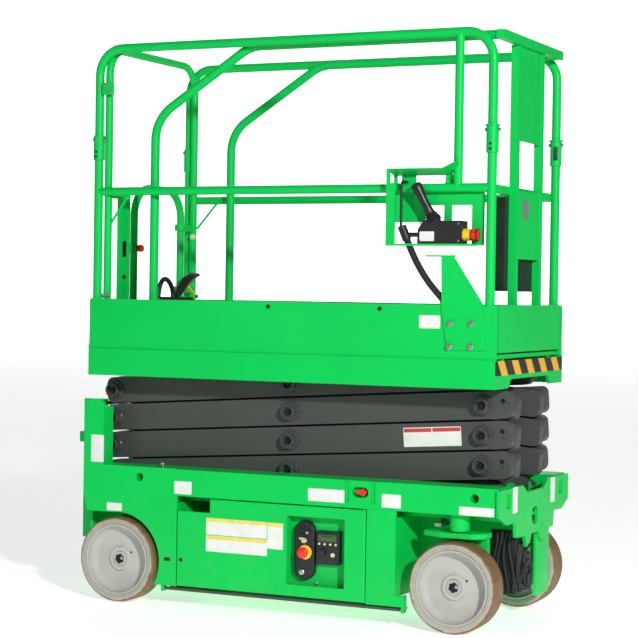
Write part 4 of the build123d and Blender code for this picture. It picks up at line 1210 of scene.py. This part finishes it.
@dataclass
class Studio:
    """Camera, floor, backdrop, sky and lamps."""

    place: Point = (3.088, -6.465, 1.197)
    azimuth: float = 25.325
    elevation: float = 0.838
    roll: float = 0.874
    lens: float = 36 * 1857.6 / 638
    reach: float = 40.0
    near: float = -3.5
    right: float = 4.0
    window: tuple[float, float] = (-42.0, 3.0)
    sky: float = 0.14
    floor_glow: float = 0.55
    backdrop_glow: float = 1.0
    key_distance: float = 9.0
    key_azimuth: float = 45.0
    key_elevation: float = 17.0
    key_size: float = 0.4
    key_power: float = 600.0
    side_place: Point = (-2.6, -7.0, 2.6)
    side_size: float = 3.0
    side_power: float = 45.0

    def camera(self) -> None:
        """Camera whose back points to its azimuth and elevation, rolled about it."""
        a, e, r = (radians(v) for v in (self.azimuth, self.elevation, self.roll))
        back = np.array([sin(a) * cos(e), -cos(a) * cos(e), sin(e)])
        right = np.array([cos(a), sin(a), 0.0])
        up = np.cross(back, right)
        axes = np.stack([right * cos(r) + up * sin(r), up * cos(r) - right * sin(r), back])
        data = bpy.data.cameras.new("camera")
        data.lens, data.sensor_width, data.clip_end = self.lens, 36.0, 200.0
        made = bpy.data.objects.new("camera", data)
        matrix = np.eye(4)
        matrix[:3, :3], matrix[:3, 3] = axes.T, self.place
        made.matrix_world = Matrix(matrix.tolist())
        bpy.context.scene.collection.objects.link(made)
        bpy.context.scene.camera = made

    def screen(self, name: str, corners: Sequence[Point], glow: float) -> None:
        """Make a wide pale sheet of the studio that gives off a little light of its own."""
        mesh = bpy.data.meshes.new(name)
        mesh.from_pydata(list(corners), [], [(0, 1, 2, 3)])
        material = FLOOR.material()
        shader = material.node_tree.nodes["Principled BSDF"]
        shader.inputs["Emission Color"].default_value = (1, 1, 1, 1)
        shader.inputs["Emission Strength"].default_value = glow
        mesh.materials.append(material)
        made = bpy.data.objects.new(name, mesh)
        bpy.context.scene.collection.objects.link(made)

    def surroundings(self) -> None:
        """Pale floor, a brighter sheet far behind the machine, and a dim even sky."""
        far, near = self.reach, self.near
        ground = [(-far, near, 0), (self.right, near, 0), (self.right, far, 0), (-far, far, 0)]
        self.screen("floor", ground, self.floor_glow)
        left, right = self.window
        sheet = [(left, far, -1), (right, far, -1), (right, far, far), (left, far, far)]
        self.screen("backdrop", sheet, self.backdrop_glow)
        world = bpy.data.worlds.new("studio")
        world.use_nodes = True
        world.node_tree.nodes["Background"].inputs["Color"].default_value = (0.94, 0.97, 1.0, 1)
        world.node_tree.nodes["Background"].inputs["Strength"].default_value = self.sky
        bpy.context.scene.world = world
        bpy.context.scene.view_settings.view_transform = "Standard"

    def lamps(self) -> None:
        """Small key lamp low on the front right, and a broad soft one towards the rear right.

        The key lamp stands at target + distance (sin a cos e, -cos a cos e, sin e).
        """
        away, a, e = self.key_distance, radians(self.key_azimuth), radians(self.key_elevation)
        x, y, z = LAMP_TARGET
        key = (x + away * sin(a) * cos(e), y - away * cos(a) * cos(e), z + away * sin(e))
        Lamp("key_lamp", key, self.key_size, self.key_power).build()
        Lamp("side_lamp", self.side_place, self.side_size, self.side_power).build()

    def build(self) -> None:
        """Set up the studio."""
        self.camera()
        self.surroundings()
        self.lamps()


# ------------------------------------------------------------------ whole machine
def refinish_nodes() -> None:
    """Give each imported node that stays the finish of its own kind."""
    shown = list(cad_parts)
    grey = [n for n in shown if "_arm_" in n or n.startswith("pothole") or n == "cylinder_barrel"]
    black = ["manual_box", "control_box"]
    special = {"cylinder_rod": CHROME, "steering_link": STEEL, "release_handle": RED, "battery_pack": BATTERY}
    refinish(shown, GREEN)
    refinish(grey, GREY)
    refinish(black, BLACK)
    for name, kind in special.items():
        refinish([name], kind)


def main() -> None:
    """Build the studio and every sub-assembly in order."""
    logging.basicConfig(level=logging.INFO, format="%(name)s: %(message)s")
    Studio().build()
    PlatformControls().build()
    refinish_nodes()
    for end, axle_x in (("rear", -0.632), ("front", 0.738)):
        for side in SIDES:
            Wheel(end, side, axle_x).build()
    Chassis().build()
    GroundControls().build()
    Stack().build()
    Platform().build()


if __name__ == "__main__":
    main()
